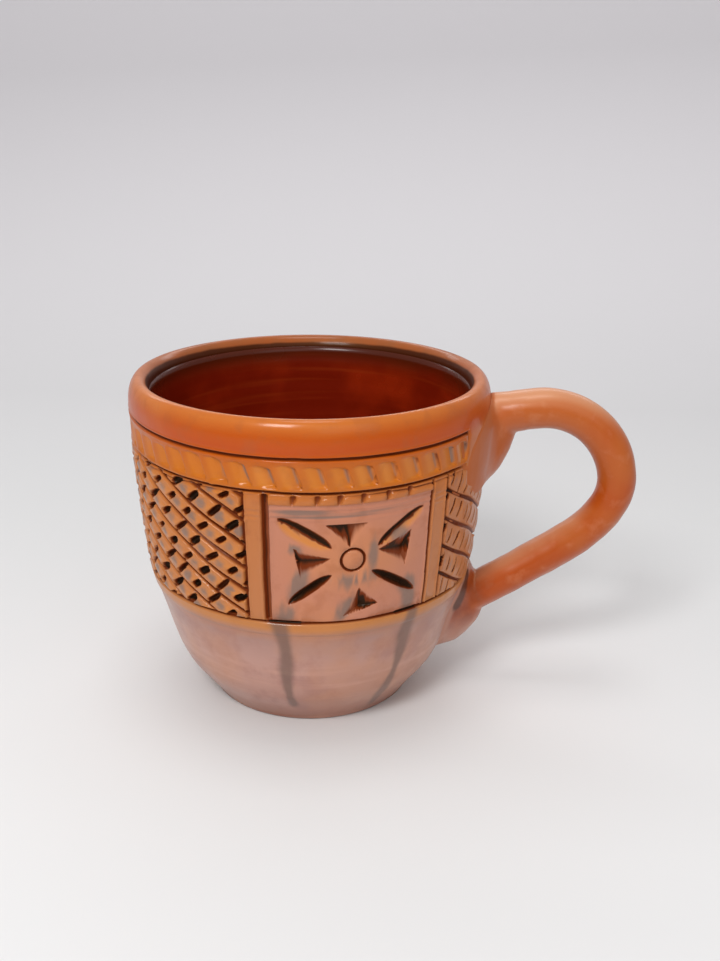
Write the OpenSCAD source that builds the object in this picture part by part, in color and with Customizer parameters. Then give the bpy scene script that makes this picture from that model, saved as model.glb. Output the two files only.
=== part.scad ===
// A thrown clay mug with a carved wall, a pulled handle and a dark glazed inside.
// The mug stands on the XY plane with its axis on Z, and the handle points along +X.
// All lengths are in millimetres. Places round the mug are angles from the handle.

/* [Mug] */
// Height from the table to the top of the lip
mug_h = 90; // [84:1:105]
// Width across the widest place, a little under the lip
mouth_d = 96; // [90:1:110]
// Width of the flat foot that stands on the table
foot_d = 54; // [46:1:62]
// Thickness of the wall at the lip and behind the carving
wall = 5.4; // [4.6:0.1:6.5]
// Thickness of the floor under the inside glaze
floor_t = 6.5; // [5:0.5:9]
// Height of the rounded shoulder that closes the lip
lip_h = 6; // [4:0.5:7]

/* [Bowl] */
// Height of the plain bowl under the carved wall
bowl_h = 33.5; // [28:0.5:38]
// Width of the mug at the ledge on top of the bowl
ledge_d = 88.4; // [82:0.5:92]
// Height of the rounded ledge
ledge_h = 3.5; // [2:0.5:5]
// How far the bowl is drawn in under the ledge
ledge_step = 1.2; // [0.4:0.1:2]
// Rounding where the bowl meets the foot
foot_edge = 1.2; // [0.6:0.1:2]

/* [Ring lines] */
// Distance from the top of the lip down to the upper ring line
collar_h = 8; // [6:0.5:10]
// Distance between the ring lines above and below the fluted band
flute_h = 8.6; // [6:0.2:11]
// Width of a ring line
line_w = 1; // [0.6:0.1:1.6]
// Depth of a ring line
line_depth = 0.8; // [0.4:0.1:1.4]
// Plain clay left on each side of the handle, along the wall
smooth_w = 25; // [16:1:32]

/* [Fluted band] */
// Distance from one flute to the next along the wall
flute_pitch = 6; // [5:0.1:10]
// Width of a flute
flute_w = 3; // [1.5:0.1:4]
// Depth of a flute at its steep side
flute_depth = 0.9; // [0.4:0.1:1.4]

/* [Flower panel] */
// Width of the panel between its two inner frame lines, along the wall
panel_w = 43.6; // [38:0.2:48]
// Width of the plain strip between the inner and the outer frame line
strip_w = 5; // [3:0.2:6]
// Width of a frame line
frame_w = 1.4; // [0.8:0.1:2]
// Depth of a frame line
frame_depth = 1.2; // [0.6:0.1:1.8]
// Width of the stamped ring in the middle of the flower
stamp_d = 6; // [4:0.2:8]
// Width of the line that the stamp leaves
stamp_line = 0.7; // [0.4:0.1:1.2]
// Length of a leaf cut
leaf_len = 15; // [10:0.5:16]
// Width of a leaf cut in its middle
leaf_w = 2.4; // [1.4:0.1:3.2]
// Depth of a leaf cut in its middle
leaf_depth = 2; // [1:0.1:2.6]
// Distance from the middle of the flower to the near end of a leaf cut
leaf_start = 7; // [5:0.5:9]
// Length of a petal chip, from its tip to its wide end
chip_len = 8; // [5:0.5:9]
// Width of a petal chip at its wide end
chip_w = 10; // [6:0.5:12]
// Depth of a petal chip at its deepest place
chip_depth = 2; // [1:0.1:2.6]
// Distance from the middle of the flower to the tip of a side chip
chip_start = 6; // [4.5:0.5:8]

/* [Lattice] */
// Height from one slanting line of the lattice to the next
lattice_pitch = 5; // [4:0.2:8]
// Width of a slanting line
lattice_line = 0.8; // [0.5:0.1:1.2]
// Depth of a slanting line
lattice_depth = 0.9; // [0.5:0.1:1.4]
// Distance from one cross cut to the next along a strip
cut_pitch = 7; // [5:0.2:12]
// Height from one slanting line to the next beside the handle
side_pitch = 8; // [5:0.5:10]
// Clay left between the ends of a cross cut and the slanting lines beside it
cut_gap = 0.6; // [0.5:0.1:1]
// Width of a cross cut
cut_w = 1.3; // [0.8:0.1:1.8]
// Depth of a cross cut
cut_depth = 1.2; // [0.6:0.1:1.5]

/* [Handle] */
// How far the middle of the coil stands out from the wall at its widest place
handle_reach = 36.6; // [28:0.2:44]
// Height of the middle of the coil at its top
handle_top = 81.7; // [76:0.5:84]
// Height of the middle of the coil where it reaches the bowl
handle_low = 28; // [22:0.5:34]
// Thickness of the coil
coil_t = 10.6; // [8:0.2:13]
// Height of the clay web that fills the corner under the upper end
upper_spread = 17; // [12:0.5:20]
// Thickness of the clay web under the upper end
web_t = 7; // [4:0.5:9]
// How far the clay tongue under the lower end reaches down the bowl
tongue_len = 19; // [14:0.5:21]
// Thickness of the clay tongue
tongue_t = 8; // [4:0.5:9]

/* [Glaze] */
// Thickness of the glassy lining inside the mug
glaze_t = 0.4; // [0.2:0.1:1]

/* [Hidden] */
$fn = 200;

mouth_r = mouth_d / 2;
foot_r = foot_d / 2;
ledge_r = ledge_d / 2;
carved_low = bowl_h + ledge_h;
upper_line = mug_h - collar_h;
lower_line = upper_line - flute_h;
carved_mid = (carved_low + lower_line) / 2;
widest = mug_h - lip_h;
// Heights that the pressed clay round the upper end reaches
web_low = handle_top - coil_t / 2 - upper_spread;
upper_high = widest;
upper_mid = (web_low + upper_high) / 2;
// Cutters reach this far past the clay that they cut
over = 1;
// The carving keeps this far inside the ring lines above and below it
lattice_low = carved_low + line_w * 0.75;
lattice_high = lower_line - line_w * 0.25;
// Height of a flute, between the two ring lines
flute_len = flute_h - 3 * line_w;
// Directions of the four leaf cuts, and how each kind of cut leans
leaf_angles = [32, 148, 212, 328];
flute_slant = 18;
lattice_slant = 29;
cut_slant = 53;
// Angle from the handle to the middle of each flower panel, and stretches of the back lattice
panel_at = 71;
back_sectors = 5;
// Direction of each petal chip, and the distance of its tip as a share of chip_start
chip_places = [[0, 1.1], [90, 0.62], [180, 0.95], [270, 1.2]];
// Where a chip is deepest, as a share of its length
pit_share = 0.7;
// How far the middle of a cross cut keeps from the ends of the lattice, as a share of its length
clear_share = 0.75;

// Height and width shares of the bowl's side, from the foot to the ledge
bowl_shares = [[0.15, 0.24], [0.29, 0.47], [0.43, 0.62], [0.58, 0.73], [0.74, 0.83], [0.88, 0.92], [1, 1]];
// How much faster than a straight line the carved wall closes in towards the ledge
swell_power = 1.5;
// How square the inside of the bowl is: 2 is an ellipse
inside_power = 2.2;
// Rows of points on each stretch of the profile
wall_rows = 5;
inside_rows = 7;
bowl_rows = 3;
lip_rows = 5;
floor_rows = 10;
skin_rows = 3;
coil_rows = 3;

// Thickness of the clay smeared out round the handle's ends
skin_t = 0.9;

function mix(a, b, t) = a + (b - a) * t;
// A smooth curve that passes through each point of a list
function smooth_at(p, i, t) =
    let(a = p[max(i - 1, 0)], b = p[i], c = p[i + 1], d = p[min(i + 2, len(p) - 1)])
    (2 * b + (c - a) * t + (2 * a - 5 * b + 4 * c - d) * t * t + (3 * b - a - 3 * c + d) * t * t * t) / 2;
function smooth(p, rows) = concat(
    [for (i = [0:len(p) - 2]) for (k = [0:rows - 1]) smooth_at(p, i, k / rows)],
    [p[len(p) - 1]]);

// The outside of the mug, as points of radius and height
bowl_top_r = ledge_r - ledge_step;
bowl_side = smooth(concat(
    [[foot_r + foot_edge, foot_edge]],
    [for (s = bowl_shares) [mix(foot_r + foot_edge, bowl_top_r, s[1]), mix(foot_edge, bowl_h, s[0])]]),
    bowl_rows);
ledge_side = [for (k = [1:3]) [
    bowl_top_r + ledge_step * sin(30 * k),
    bowl_h + ledge_h / 2 * (1 - cos(30 * k))]];
function swell(z) =
    mouth_r - (mouth_r - ledge_r) * pow(max(widest - z, 0) / (widest - carved_low), swell_power);
function rise(low, high, rows) = [for (k = [1:rows - 1]) let(z = mix(low, high, k / rows)) [swell(z), z]];
function ring_line(z) = [
    [swell(z - line_w / 2), z - line_w / 2],
    [swell(z) - line_depth, z],
    [swell(z + line_w / 2), z + line_w / 2]];
carved_side = concat(
    ring_line(carved_low + line_w / 2),
    rise(carved_low + line_w, lower_line - line_w / 2, wall_rows),
    ring_line(lower_line),
    rise(lower_line + line_w / 2, upper_line - line_w / 2, 2),
    ring_line(upper_line),
    [[mouth_r, widest]]);
outside = concat([[foot_r, 0]], bowl_side, ledge_side, carved_side);
low_heights = [for (p = concat(bowl_side, ledge_side)) [p[1], p[0]]];
// Radius of the outside at a height between the foot and the lip, as if it had no ring lines
function wall_r(z) = z > carved_low ? swell(z) : lookup(z, low_heights);
// How far the wall leans from upright at a height
function lean(z) = atan2(wall_r(z + over) - wall_r(z - over), 2 * over);
// Angle round the mug that a length along the wall covers
mean_r = wall_r(carved_mid);
function turn(length) = length / mean_r * 180 / PI;

// Angles from the handle to the lattice on each side of a flower panel.
// The lattice runs into the outer frame line there.
panel_near = panel_at - turn(panel_w / 2 + strip_w + line_w / 4);
panel_far = panel_at + turn(panel_w / 2 + strip_w + line_w / 4);

lip_r = mouth_r - wall / 2;
lip_inside = mug_h - lip_h * 2 / 3;
lip_side = [for (k = [1:lip_rows]) let(a = 90 * k / lip_rows) [
    lip_r + wall / 2 * cos(a), widest + lip_h * sin(a)]];
lip_back = [for (k = [1:lip_rows - 1]) let(a = 90 + 90 * k / lip_rows) [
    lip_r + wall / 2 * cos(a), lip_inside + (mug_h - lip_inside) * sin(a)]];

// The inside of the mug, drawn in by the thickness of a lining
function inside(lining) = concat(
    [[mouth_r - wall, lip_inside]],
    [for (k = [0:inside_rows]) let(z = mix(widest, carved_low, k / inside_rows))
        [swell(z) - wall - lining, z]],
    [for (k = [1:floor_rows]) let(a = 90 * k / floor_rows, low = floor_t + lining) [
        (ledge_r - wall - lining) * pow(cos(a), 2 / inside_power),
        carved_low - (carved_low - low) * pow(sin(a), 2 / inside_power)]]);

// The solid that the outside encloses, with no hollow: what sits on the wall is cut back to it
module filled() {
    rotate_extrude() polygon(concat([[0, 0]], outside, lip_side, [[0, mug_h]]));
}

// Puts a shape on the wall: X along the wall, Y up it and Z straight out, or level if leaning is 0
module on_wall(angle, z, leaning = 1) {
    rotate([0, 0, angle]) translate([wall_r(z), 0, z]) rotate([90 + leaning * lean(z), 0, 90]) children();
}

// A straight cut upright on the wall, open to the outside all the way up
module upright_line(angle, width, depth) {
    low = carved_low + line_w / 2;
    high = lower_line;
    tilt = atan2(wall_r(high) - wall_r(low), high - low);
    rotate([0, 0, angle]) translate([wall_r(carved_mid), 0, carved_mid]) rotate([0, tilt, 0])
        translate([over - depth / 2, 0, 0]) cube([2 * over + depth, width, high - low], center = true);
}

// A cut with a sharp bottom and pointed ends, as a turning blade leaves, slanting up the wall
module blade_cut(length, width, depth, slant) {
    blade_r = 1 / (8 * depth / pow(length, 2) - pow(cos(slant), 2) / mean_r);
    rotate([0, 0, slant]) translate([0, 0, blade_r - depth]) rotate([90, 0, 0]) rotate_extrude()
        polygon([[blade_r - 2 * depth, -width], [blade_r, 0], [blade_r - 2 * depth, width]]);
}

// A three sided chip with its tip at the middle and its deepest place near the wide end
module chip(length, width, depth) {
    pit = [length * pit_share, 0, -depth];
    rim = [[0, 0, 0], [length, -width / 2, 0], [length, width / 2, 0]];
    rise = 1 + over / depth;
    polyhedron(
        concat([pit], [for (p = rim) pit + (p - pit) * rise]),
        [[1, 3, 2], [0, 2, 3], [0, 3, 1], [0, 1, 2]]);
}

// A place in the flower panel, by its distance from the middle and its direction
module in_panel(across, up) {
    on_wall(turn(across), carved_mid + up) children();
}

// Frame lines, leaf cuts, petal chips and the stamped ring of one panel, centred on angle zero
module flower_panel() {
    for (side = [-1, 1]) {
        upright_line(side * turn(panel_w / 2), frame_w, frame_depth);
        upright_line(side * turn(panel_w / 2 + strip_w), line_w, frame_depth);
    }
    leaf_middle = leaf_start + leaf_len / 2;
    for (a = leaf_angles)
        in_panel(leaf_middle * cos(a), leaf_middle * sin(a)) blade_cut(leaf_len, leaf_w, leaf_depth, a);
    for (c = chip_places)
        in_panel(chip_start * c[1] * cos(c[0]), chip_start * c[1] * sin(c[0]))
            rotate([0, 0, c[0]]) chip(chip_len, chip_w, chip_depth);
    in_panel(0, 0) rotate_extrude() translate([(stamp_d - stamp_line) / 2, 0])
        circle(d = stamp_line, $fn = 24);
}

// One flute: a shallow facet that falls to a steep side
module flute() {
    rotate([0, 0, flute_slant]) translate([flute_w / 2, 0, -flute_depth])
        rotate([0, atan2(flute_depth, flute_w), 0]) translate([-2 * flute_w, -flute_len / 2, 0])
            cube([2 * flute_w, flute_len, flute_depth + over]);
}

// How far a slanting line falls over an angle round the mug
function fall(angle) = tan(lattice_slant) * mean_r * angle * PI / 180;
// The slab that cuts a stretch leans a little more than the line, so that its ends meet the line
function slab_lean(half) = atan(fall(half) / (mean_r * sin(half)));

// Slanting lines between two angles, from the bottom of the carved wall up to a height
module slanting_lines(from, to, high, pitch) {
    low = lattice_low;
    half = (to - from) / 2;
    middle = (from + to) / 2;
    first = ceil((low + fall(middle - half)) / pitch);
    last = floor((high + fall(middle + half)) / pitch);
    intersection() {
        rotate([0, 0, from]) rotate_extrude(angle = to - from) polygon(concat(
            [for (k = [0:skin_rows]) let(z = mix(low, high, k / skin_rows)) [wall_r(z) - lattice_depth, z]],
            [[max(mouth_r, ledge_r) + over, high], [max(mouth_r, ledge_r) + over, low]]));
        rotate([0, 0, middle]) for (n = [first:last])
            translate([mean_r, 0, n * pitch - fall(middle)]) rotate([-slab_lean(half), 0, 0])
                cube([mean_r, mouth_d, lattice_line], center = true);
    }
}

// Cross cuts that stand in rows between the slanting lines of one or more stretches.
// Where the wall is wider or narrower than in its middle, they shift with the lines.
module cross_cuts(from, to, stretches, high, pitch) {
    stretch = (to - from) / stretches;
    // The rows run along the strips between the lines, which the cuts cross from side to side
    thick = pitch * cos(lattice_slant);
    cut_len = thick - lattice_line - 2 * cut_gap;
    x0 = mean_r * from * PI / 180 + cut_len * clear_share;
    x1 = mean_r * to * PI / 180 - cut_len * clear_share;
    z0 = carved_low + line_w / 2 + cut_len * clear_share;
    z1 = high - cut_len * clear_share;
    step = thick / sin(lattice_slant + cut_slant);
    skew = step * cos(lattice_slant + cut_slant);
    for (n = [floor((x0 * sin(lattice_slant) + z0 * cos(lattice_slant)) / thick)
            :ceil((x1 * sin(lattice_slant) + z1 * cos(lattice_slant)) / thick)]) {
        row = (n + 0.5) * step;
        start = x0 * cos(lattice_slant) - z1 * sin(lattice_slant) - (n + 0.5) * skew;
        end = x1 * cos(lattice_slant) - z0 * sin(lattice_slant) - (n + 0.5) * skew;
        for (k = [floor(start / cut_pitch):ceil(end / cut_pitch)]) {
            x = k * cut_pitch * cos(lattice_slant) + row * cos(cut_slant);
            z = row * sin(cut_slant) - k * cut_pitch * sin(lattice_slant);
            angle = turn(x);
            middle = from + (floor((angle - from) / stretch) + 0.5) * stretch;
            shift = tan(slab_lean(stretch / 2)) * (wall_r(z) - mean_r) * sin(angle - middle);
            if (x > x0 && x < x1 && z > z0 && z < z1) on_wall(angle, z - shift, 0) rotate([0, 0, cut_slant])
                translate([0, 0, (over - cut_depth) / 2])
                    cube([cut_len, cut_w, over + cut_depth], center = true);
        }
    }
}

// The flutes of the band between the upper two ring lines
module flutes() {
    count = floor(2 * PI * mean_r / flute_pitch);
    for (k = [0:count - 1]) let(angle = 360 * (k + 0.5) / count)
        if (min(angle, 360 - angle) > turn(smooth_w + flute_w))
            on_wall(angle, (upper_line + lower_line) / 2) flute();
}

// The slanting lines all round the back, and beside and under the handle.
// The blade is lifted between one stretch of a line and the next, which leaves a little clay there.
module lattice_cuts() {
    sector = (360 - 2 * panel_far) / back_sectors;
    lift = turn(lattice_line / 2);
    for (k = [0:back_sectors - 1])
        slanting_lines(
            panel_far + k * sector + (k > 0 ? lift : 0),
            panel_far + (k + 1) * sector - (k < back_sectors - 1 ? lift : 0),
            lattice_high, lattice_pitch);
    beside = turn(smooth_w);
    under = turn(coil_t);
    slanting_lines(beside + lift, panel_near, lattice_high, side_pitch);
    slanting_lines(-panel_near, -beside - lift, lattice_high, side_pitch);
    slanting_lines(under, beside - lift, web_low - skin_t, side_pitch);
    slanting_lines(-beside + lift, -under, web_low - skin_t, side_pitch);
}

// The thrown clay before it is carved: foot, bowl, ledge, wall and lip in one turned piece
module thrown() {
    rotate_extrude() polygon(concat([[0, 0]], outside, lip_side, lip_back, inside(0)));
}

// The body with its flutes and its two flower panels
module panelled() {
    difference() {
        difference() {
            thrown();
            flutes();
        }
        for (side = [-1, 1]) rotate([0, 0, side * panel_at]) flower_panel();
    }
}

// The body, carved one kind of cut after another
module body() {
    color("#c8743c") difference() {
        difference() {
            panelled();
            lattice_cuts();
        }
        cross_cuts(panel_far, 360 - panel_far, back_sectors, lattice_high, lattice_pitch);
    }
}

// The dark glassy lining, from the inner edge of the lip down over the floor
module inside_glaze() {
    lining = inside(glaze_t);
    color("#4a1408") rotate_extrude() polygon(concat(
        inside(0), [for (k = [len(lining) - 1:-1:1]) lining[k]]));
}

// The route of the coil's middle, from inside the wall out, round and down into the bowl.
// It stands out from a line between the bowl at the low end and the mouth at the top.
coil_shares = [
    [0.19, 0.974], [0.39, 1], [0.6, 0.98], [0.79, 0.9], [0.91, 0.81], [0.98, 0.71], [1.01, 0.595],
    [0.98, 0.5], [0.91, 0.4], [0.79, 0.325], [0.64, 0.236], [0.46, 0.155], [0.29, 0.076], [0.126, 0]];
coil_start_share = 0.935;
root_shares = [0.8, 0.725];
root_r = wall_r(handle_low);
coil_path = smooth(concat(
    [[mouth_r - wall / 2, mix(handle_low, handle_top, coil_start_share)]],
    [for (s = coil_shares) [
        mix(root_r, mouth_r, s[1]) + handle_reach * s[0],
        mix(handle_low, handle_top, s[1])]],
    [[root_r * root_shares[0], handle_low * root_shares[1]]]), coil_rows);
// The coil is a little thinner at its outer bend than at its ends
thin_share = 0.09;
coil_sides = 20;

function coil_ring(i) =
    let(n = len(coil_path) - 1, d = coil_path[min(i + 1, n)] - coil_path[max(i - 1, 0)], u = d / norm(d),
        p = coil_path[i], r = coil_t / 2 * (1 - thin_share * pow(sin(180 * i / n), 2)))
    [for (k = [0:coil_sides - 1]) let(a = 360 * k / coil_sides)
        [p[0] - u[1] * r * cos(a), r * sin(a), p[1] + u[0] * r * cos(a)]];

// The coil as it was pulled, before its ends are pressed on the wall
module coil() {
    rings = [for (i = [0:len(coil_path) - 1]) each coil_ring(i)];
    m = coil_sides;
    n = len(coil_path) - 1;
    polyhedron(rings, concat(
        [[for (k = [m - 1:-1:0]) k]],
        [for (i = [0:n - 1]) for (k = [0:m - 1]) let(a = i * m + k, b = i * m + (k + 1) % m)
            each [[a, b, b + m], [a, b + m, a + m]]],
        [[for (k = [0:m - 1]) n * m + k]]));
}

module handle() {
    color("#cd7038") difference() {
        coil();
        filled();
    }
}

// The two triangles of a cell whose corners are given round it
function cell(a, b, c, d) = [[a, b, d], [b, c, d]];
// Clay pressed on the wall: rows of points outside it, closed by the same rows sunk in the wall
module pressed(rows, cols, points) {
    c = cols + 1;
    n = (rows + 1) * c;
    top = rows * c;
    outer = [for (p = points) [p[0], p[1], p[2]]];
    inner = [for (p = points) let(r = norm([p[0], p[1]]), s = (r - p[3]) / r) [p[0] * s, p[1] * s, p[2]]];
    polyhedron(concat(outer, inner), concat(
        [for (i = [0:rows - 1]) for (k = [0:cols - 1]) let(a = i * c + k)
            each cell(a, a + c, a + c + 1, a + 1)],
        [for (i = [0:rows - 1]) for (k = [0:cols - 1]) let(a = n + i * c + k)
            each cell(a, a + 1, a + c + 1, a + c)],
        [for (k = [0:cols - 1]) each cell(k, k + 1, n + k + 1, n + k)],
        [for (k = [0:cols - 1]) let(a = top + k) each cell(a, n + a, n + a + 1, a + 1)],
        [for (i = [0:rows - 1]) let(a = i * c) each cell(a, n + a, n + a + c, a + c)],
        [for (i = [0:rows - 1]) let(a = i * c + cols) each cell(a, a + c, n + a + c, n + a)]));
}

// A point of pressed clay that stands a thickness out from the wall, and how deep its back is sunk
function pressed_point(z, y, thick) =
    let(r = wall_r(z), a = y / r * 180 / PI)
    [(r + thick) * cos(a), (r + thick) * sin(a), z, thick + wall / 2];
// Places across a pressed piece, closer together in its middle
function across(k, cols, spread) = let(u = 2 * k / cols - 1) spread * u * pow(abs(u), 0.6);
// A thin skin of clay that feathers out to nothing at the edge of a rounded patch
function skin(y, z, middle, half_w, half_h) =
    skin_t * (1 - pow(y / half_w, 4) - pow((z - middle) / half_h, 4));
// A ridge of clay that dies away on both sides
function ridge(y, half_w) = exp(-pow(y / half_w, 2));

// The web under the upper end, from its foot up: height shares and thickness shares
web_shares = [[0, 0], [0.3, 0.5], [0.6, 0.78], [1, 1], [1.25, 0.8], [1.6, 0]];

// Clay pressed round the upper end of the coil, with the web that fills the corner under it
module upper_luting() {
    rows = 16;
    cols = 20;
    points = [for (i = [0:rows]) for (k = [0:cols]) let(
        z = mix(web_low - skin_t, upper_high, i / rows),
        y = across(k, cols, smooth_w),
        web = web_t * lookup((z - web_low) / upper_spread, web_shares))
        pressed_point(z, y, web * ridge(y, coil_t / 2)
            + skin(y, z, upper_mid, smooth_w, upper_high - upper_mid))];
    color("#d07c48") difference() {
        pressed(rows, cols, points);
        filled();
        coil();
    }
}

// The tongue under the lower end, from its tip up: height shares and thickness shares
tongue_shares = [[0, 0], [0.06, 0.35], [0.12, 0.6], [0.22, 0.8], [0.37, 1], [0.5, 1], [0.78, 0.5], [1, 0]];
tongue_low = handle_low - tongue_len;
tongue_high = handle_low + coil_t * 0.8;
tongue_mid = (tongue_low + tongue_high) / 2;

// Clay pressed round the lower end of the coil and drawn down the bowl in a tongue
module lower_luting() {
    rows = 16;
    cols = 16;
    half_w = coil_t * 1.4;
    points = [for (i = [0:rows]) for (k = [0:cols]) let(
        z = mix(tongue_low - skin_t, tongue_high, i / rows),
        y = across(k, cols, half_w + skin_t),
        tongue = tongue_t * lookup((z - tongue_low) / (tongue_high - tongue_low), tongue_shares))
        pressed_point(z, y, tongue * ridge(y, coil_t * 0.6)
            + skin(y, z, tongue_mid, half_w, tongue_high - tongue_mid))];
    color("#d07c48") difference() {
        pressed(rows, cols, points);
        filled();
        coil();
    }
}

body();
inside_glaze();
handle();
upper_luting();
lower_luting();
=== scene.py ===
# %% [markdown]
# A jarrito clay mug, thrown on a wheel, carved while the clay was leather hard and dipped in a clear
# amber glaze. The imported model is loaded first. The mug's height and the width of its mouth are measured
# on it, the pressed clay starts from its solids, and each piece made here stands for one of its nodes.

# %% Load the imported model
import math
import bpy
import numpy as np
from mathutils import Matrix, Vector


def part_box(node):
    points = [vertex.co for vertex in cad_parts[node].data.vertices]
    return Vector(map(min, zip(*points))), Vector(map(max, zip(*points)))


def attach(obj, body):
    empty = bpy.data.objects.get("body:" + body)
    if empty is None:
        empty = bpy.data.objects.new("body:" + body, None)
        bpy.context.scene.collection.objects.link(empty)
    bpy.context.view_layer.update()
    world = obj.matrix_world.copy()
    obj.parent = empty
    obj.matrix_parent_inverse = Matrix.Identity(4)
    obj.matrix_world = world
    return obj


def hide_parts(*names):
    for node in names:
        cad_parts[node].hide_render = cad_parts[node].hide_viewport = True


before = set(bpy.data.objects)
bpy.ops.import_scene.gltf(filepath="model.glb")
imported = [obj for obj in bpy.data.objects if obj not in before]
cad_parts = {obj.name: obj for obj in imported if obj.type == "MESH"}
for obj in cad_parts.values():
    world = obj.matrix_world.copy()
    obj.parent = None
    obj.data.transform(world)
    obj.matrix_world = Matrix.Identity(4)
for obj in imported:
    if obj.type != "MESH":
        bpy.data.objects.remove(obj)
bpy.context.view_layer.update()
MM = 0.001
print("CAD nodes:", ", ".join(sorted(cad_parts)))

# %% [markdown]
# The camera comes before any piece, so that each render can be laid beside the photograph from the start.
# It could be aimed by eye, but the oval of the lip shows an error of a single degree. So its place, turn
# and tilt were worked out from the ovals of the lip, the ring lines and the foot, and are written as
# plain values.

# %% Camera
CAMERA_AT = Vector((33.11, -315.02, 180.99)) * MM
CAMERA_YAW = math.radians(-3.557)
CAMERA_PITCH = math.radians(21.118)
CAMERA_ROLL = math.radians(0.704)
CAMERA_LENS = 46.30
FILM_WIDTH = 36
NEAREST_SEEN = 10 * MM
ahead = Vector((math.sin(CAMERA_YAW) * math.cos(CAMERA_PITCH),
                math.cos(CAMERA_YAW) * math.cos(CAMERA_PITCH),
                -math.sin(CAMERA_PITCH)))
level_right = Vector((math.cos(CAMERA_YAW), -math.sin(CAMERA_YAW), 0))
level_up = level_right.cross(ahead)
right = level_right * math.cos(CAMERA_ROLL) + level_up * math.sin(CAMERA_ROLL)
up = level_up * math.cos(CAMERA_ROLL) - level_right * math.sin(CAMERA_ROLL)
bpy.ops.object.camera_add()
camera = bpy.context.object
camera.data.sensor_width = FILM_WIDTH
camera.data.lens = CAMERA_LENS
camera.data.clip_start = NEAREST_SEEN
camera.matrix_world = Matrix((
    (right.x, up.x, -ahead.x, CAMERA_AT.x),
    (right.y, up.y, -ahead.y, CAMERA_AT.y),
    (right.z, up.z, -ahead.z, CAMERA_AT.z),
    (0, 0, 0, 1)))
bpy.context.scene.camera = camera
print("camera lens", CAMERA_LENS, "mm, height", round(CAMERA_AT.z / MM), "mm")

# %% [markdown]
# The mug was thrown on a wheel, so its outside is one outline turned round an axis. The outline could be
# drawn as a long list of points, but a few points with a smooth curve through them give a fair bowl, as a
# potter's rib does, and stay easy to change. Sizes are in millimetres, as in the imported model.

# %% Sizes and the outline of the mug
body_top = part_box("body")[1] / MM
HEIGHT = round(body_top.z)
MOUTH_R = round(body_top.y)
FOOT_R = 27
FOOT_EDGE = 1.2
LEDGE_R = 44.2
LEDGE_STEP = 1.2
LEDGE_TOP = 37
LEDGE_LOW = 33.5
WIDEST = 84
UPPER_LINE = 82
LOWER_LINE = 73.4
CARVED_MID = (LEDGE_TOP + LOWER_LINE) / 2
# Shares of the height and of the width that the bowl gains between its foot and the ledge
BOWL_SHARES = ((0.15, 0.24), (0.29, 0.47), (0.43, 0.62), (0.58, 0.73), (0.74, 0.83), (0.88, 0.92), (1, 1))
BOWL_ROWS = 5
SWELL_POWER = 1.5
MEAN_R = 46.2
MM_PER_DEGREE = MEAN_R * math.pi / 180


def smooth_curve(points, rows):
    """Points on a smooth curve through each of the given points."""
    points = [np.array(p, float) for p in points]
    curve = []
    for i in range(len(points) - 1):
        a, b, c = points[max(i - 1, 0)], points[i], points[i + 1]
        d = points[min(i + 2, len(points) - 1)]
        for k in range(rows):
            t = k / rows
            curve.append((2 * b + (c - a) * t + (2 * a - 5 * b + 4 * c - d) * t * t
                          + (3 * b - a - 3 * c + d) * t ** 3) / 2)
    return curve + [points[-1]]


def swell(z):
    """Radius of the carved wall at a height."""
    below = np.maximum(WIDEST - z, 0) / (WIDEST - LEDGE_TOP)
    return MOUTH_R - (MOUTH_R - LEDGE_R) * below ** SWELL_POWER


BOWL_TOP_R = LEDGE_R - LEDGE_STEP
bowl_points = [(FOOT_R + FOOT_EDGE, FOOT_EDGE)]
for height_share, width_share in BOWL_SHARES:
    bowl_points.append((FOOT_R + FOOT_EDGE + (BOWL_TOP_R - FOOT_R - FOOT_EDGE) * width_share,
                        FOOT_EDGE + (LEDGE_LOW - FOOT_EDGE) * height_share))
bowl_side = smooth_curve(bowl_points, BOWL_ROWS)
low_side = np.array(bowl_side + [np.array((LEDGE_R, LEDGE_TOP - LEDGE_STEP)), np.array((LEDGE_R, LEDGE_TOP))])


def wall_r(z):
    """Radius of the outside at any height between the foot and the widest place."""
    return np.where(z > LEDGE_TOP, swell(z), np.interp(z, low_side[:, 1], low_side[:, 0]))


print("mug:", HEIGHT, "mm high,", 2 * MOUTH_R, "mm across the mouth")
print("wall radius at the ledge and the widest place:", wall_r(np.array([LEDGE_TOP, WIDEST])).round(2))

# %% [markdown]
# A few small helpers do what is done by hand in every step: select one object, read its points, move
# them, and merge what lies double. A turned piece could be a Screw modifier on a curve. Here its profile
# is laid on a circle of points, the closing edge is dropped, and the spin operator turns it, so it is a
# plain mesh at once.

# %% Helpers for meshes
DOUBLE_GAP = 0.002 * MM


def only(obj):
    """Makes one object the only selected and active one."""
    bpy.ops.object.select_all(action="DESELECT")
    obj.select_set(True)
    bpy.context.view_layer.objects.active = obj


def joined(parts, active):
    """Joins some objects into one of them."""
    bpy.ops.object.select_all(action="DESELECT")
    for part in parts:
        part.select_set(True)
    bpy.context.view_layer.objects.active = active
    bpy.ops.object.join()
    return active


def merged(obj, outward=True):
    """Merges points that lie double, and turns the faces outwards."""
    only(obj)
    bpy.ops.object.mode_set(mode="EDIT")
    bpy.ops.mesh.select_all(action="SELECT")
    bpy.ops.mesh.remove_doubles(threshold=DOUBLE_GAP)
    if outward:
        bpy.ops.mesh.normals_make_consistent(inside=False)
    bpy.ops.object.mode_set(mode="OBJECT")


def applied(obj, kind, **settings):
    """Adds a modifier with its settings and applies it."""
    only(obj)
    modifier = obj.modifiers.new(kind.lower(), kind)
    for name, setting in settings.items():
        setattr(modifier, name, setting)
    bpy.ops.object.modifier_apply(modifier=modifier.name)


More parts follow.
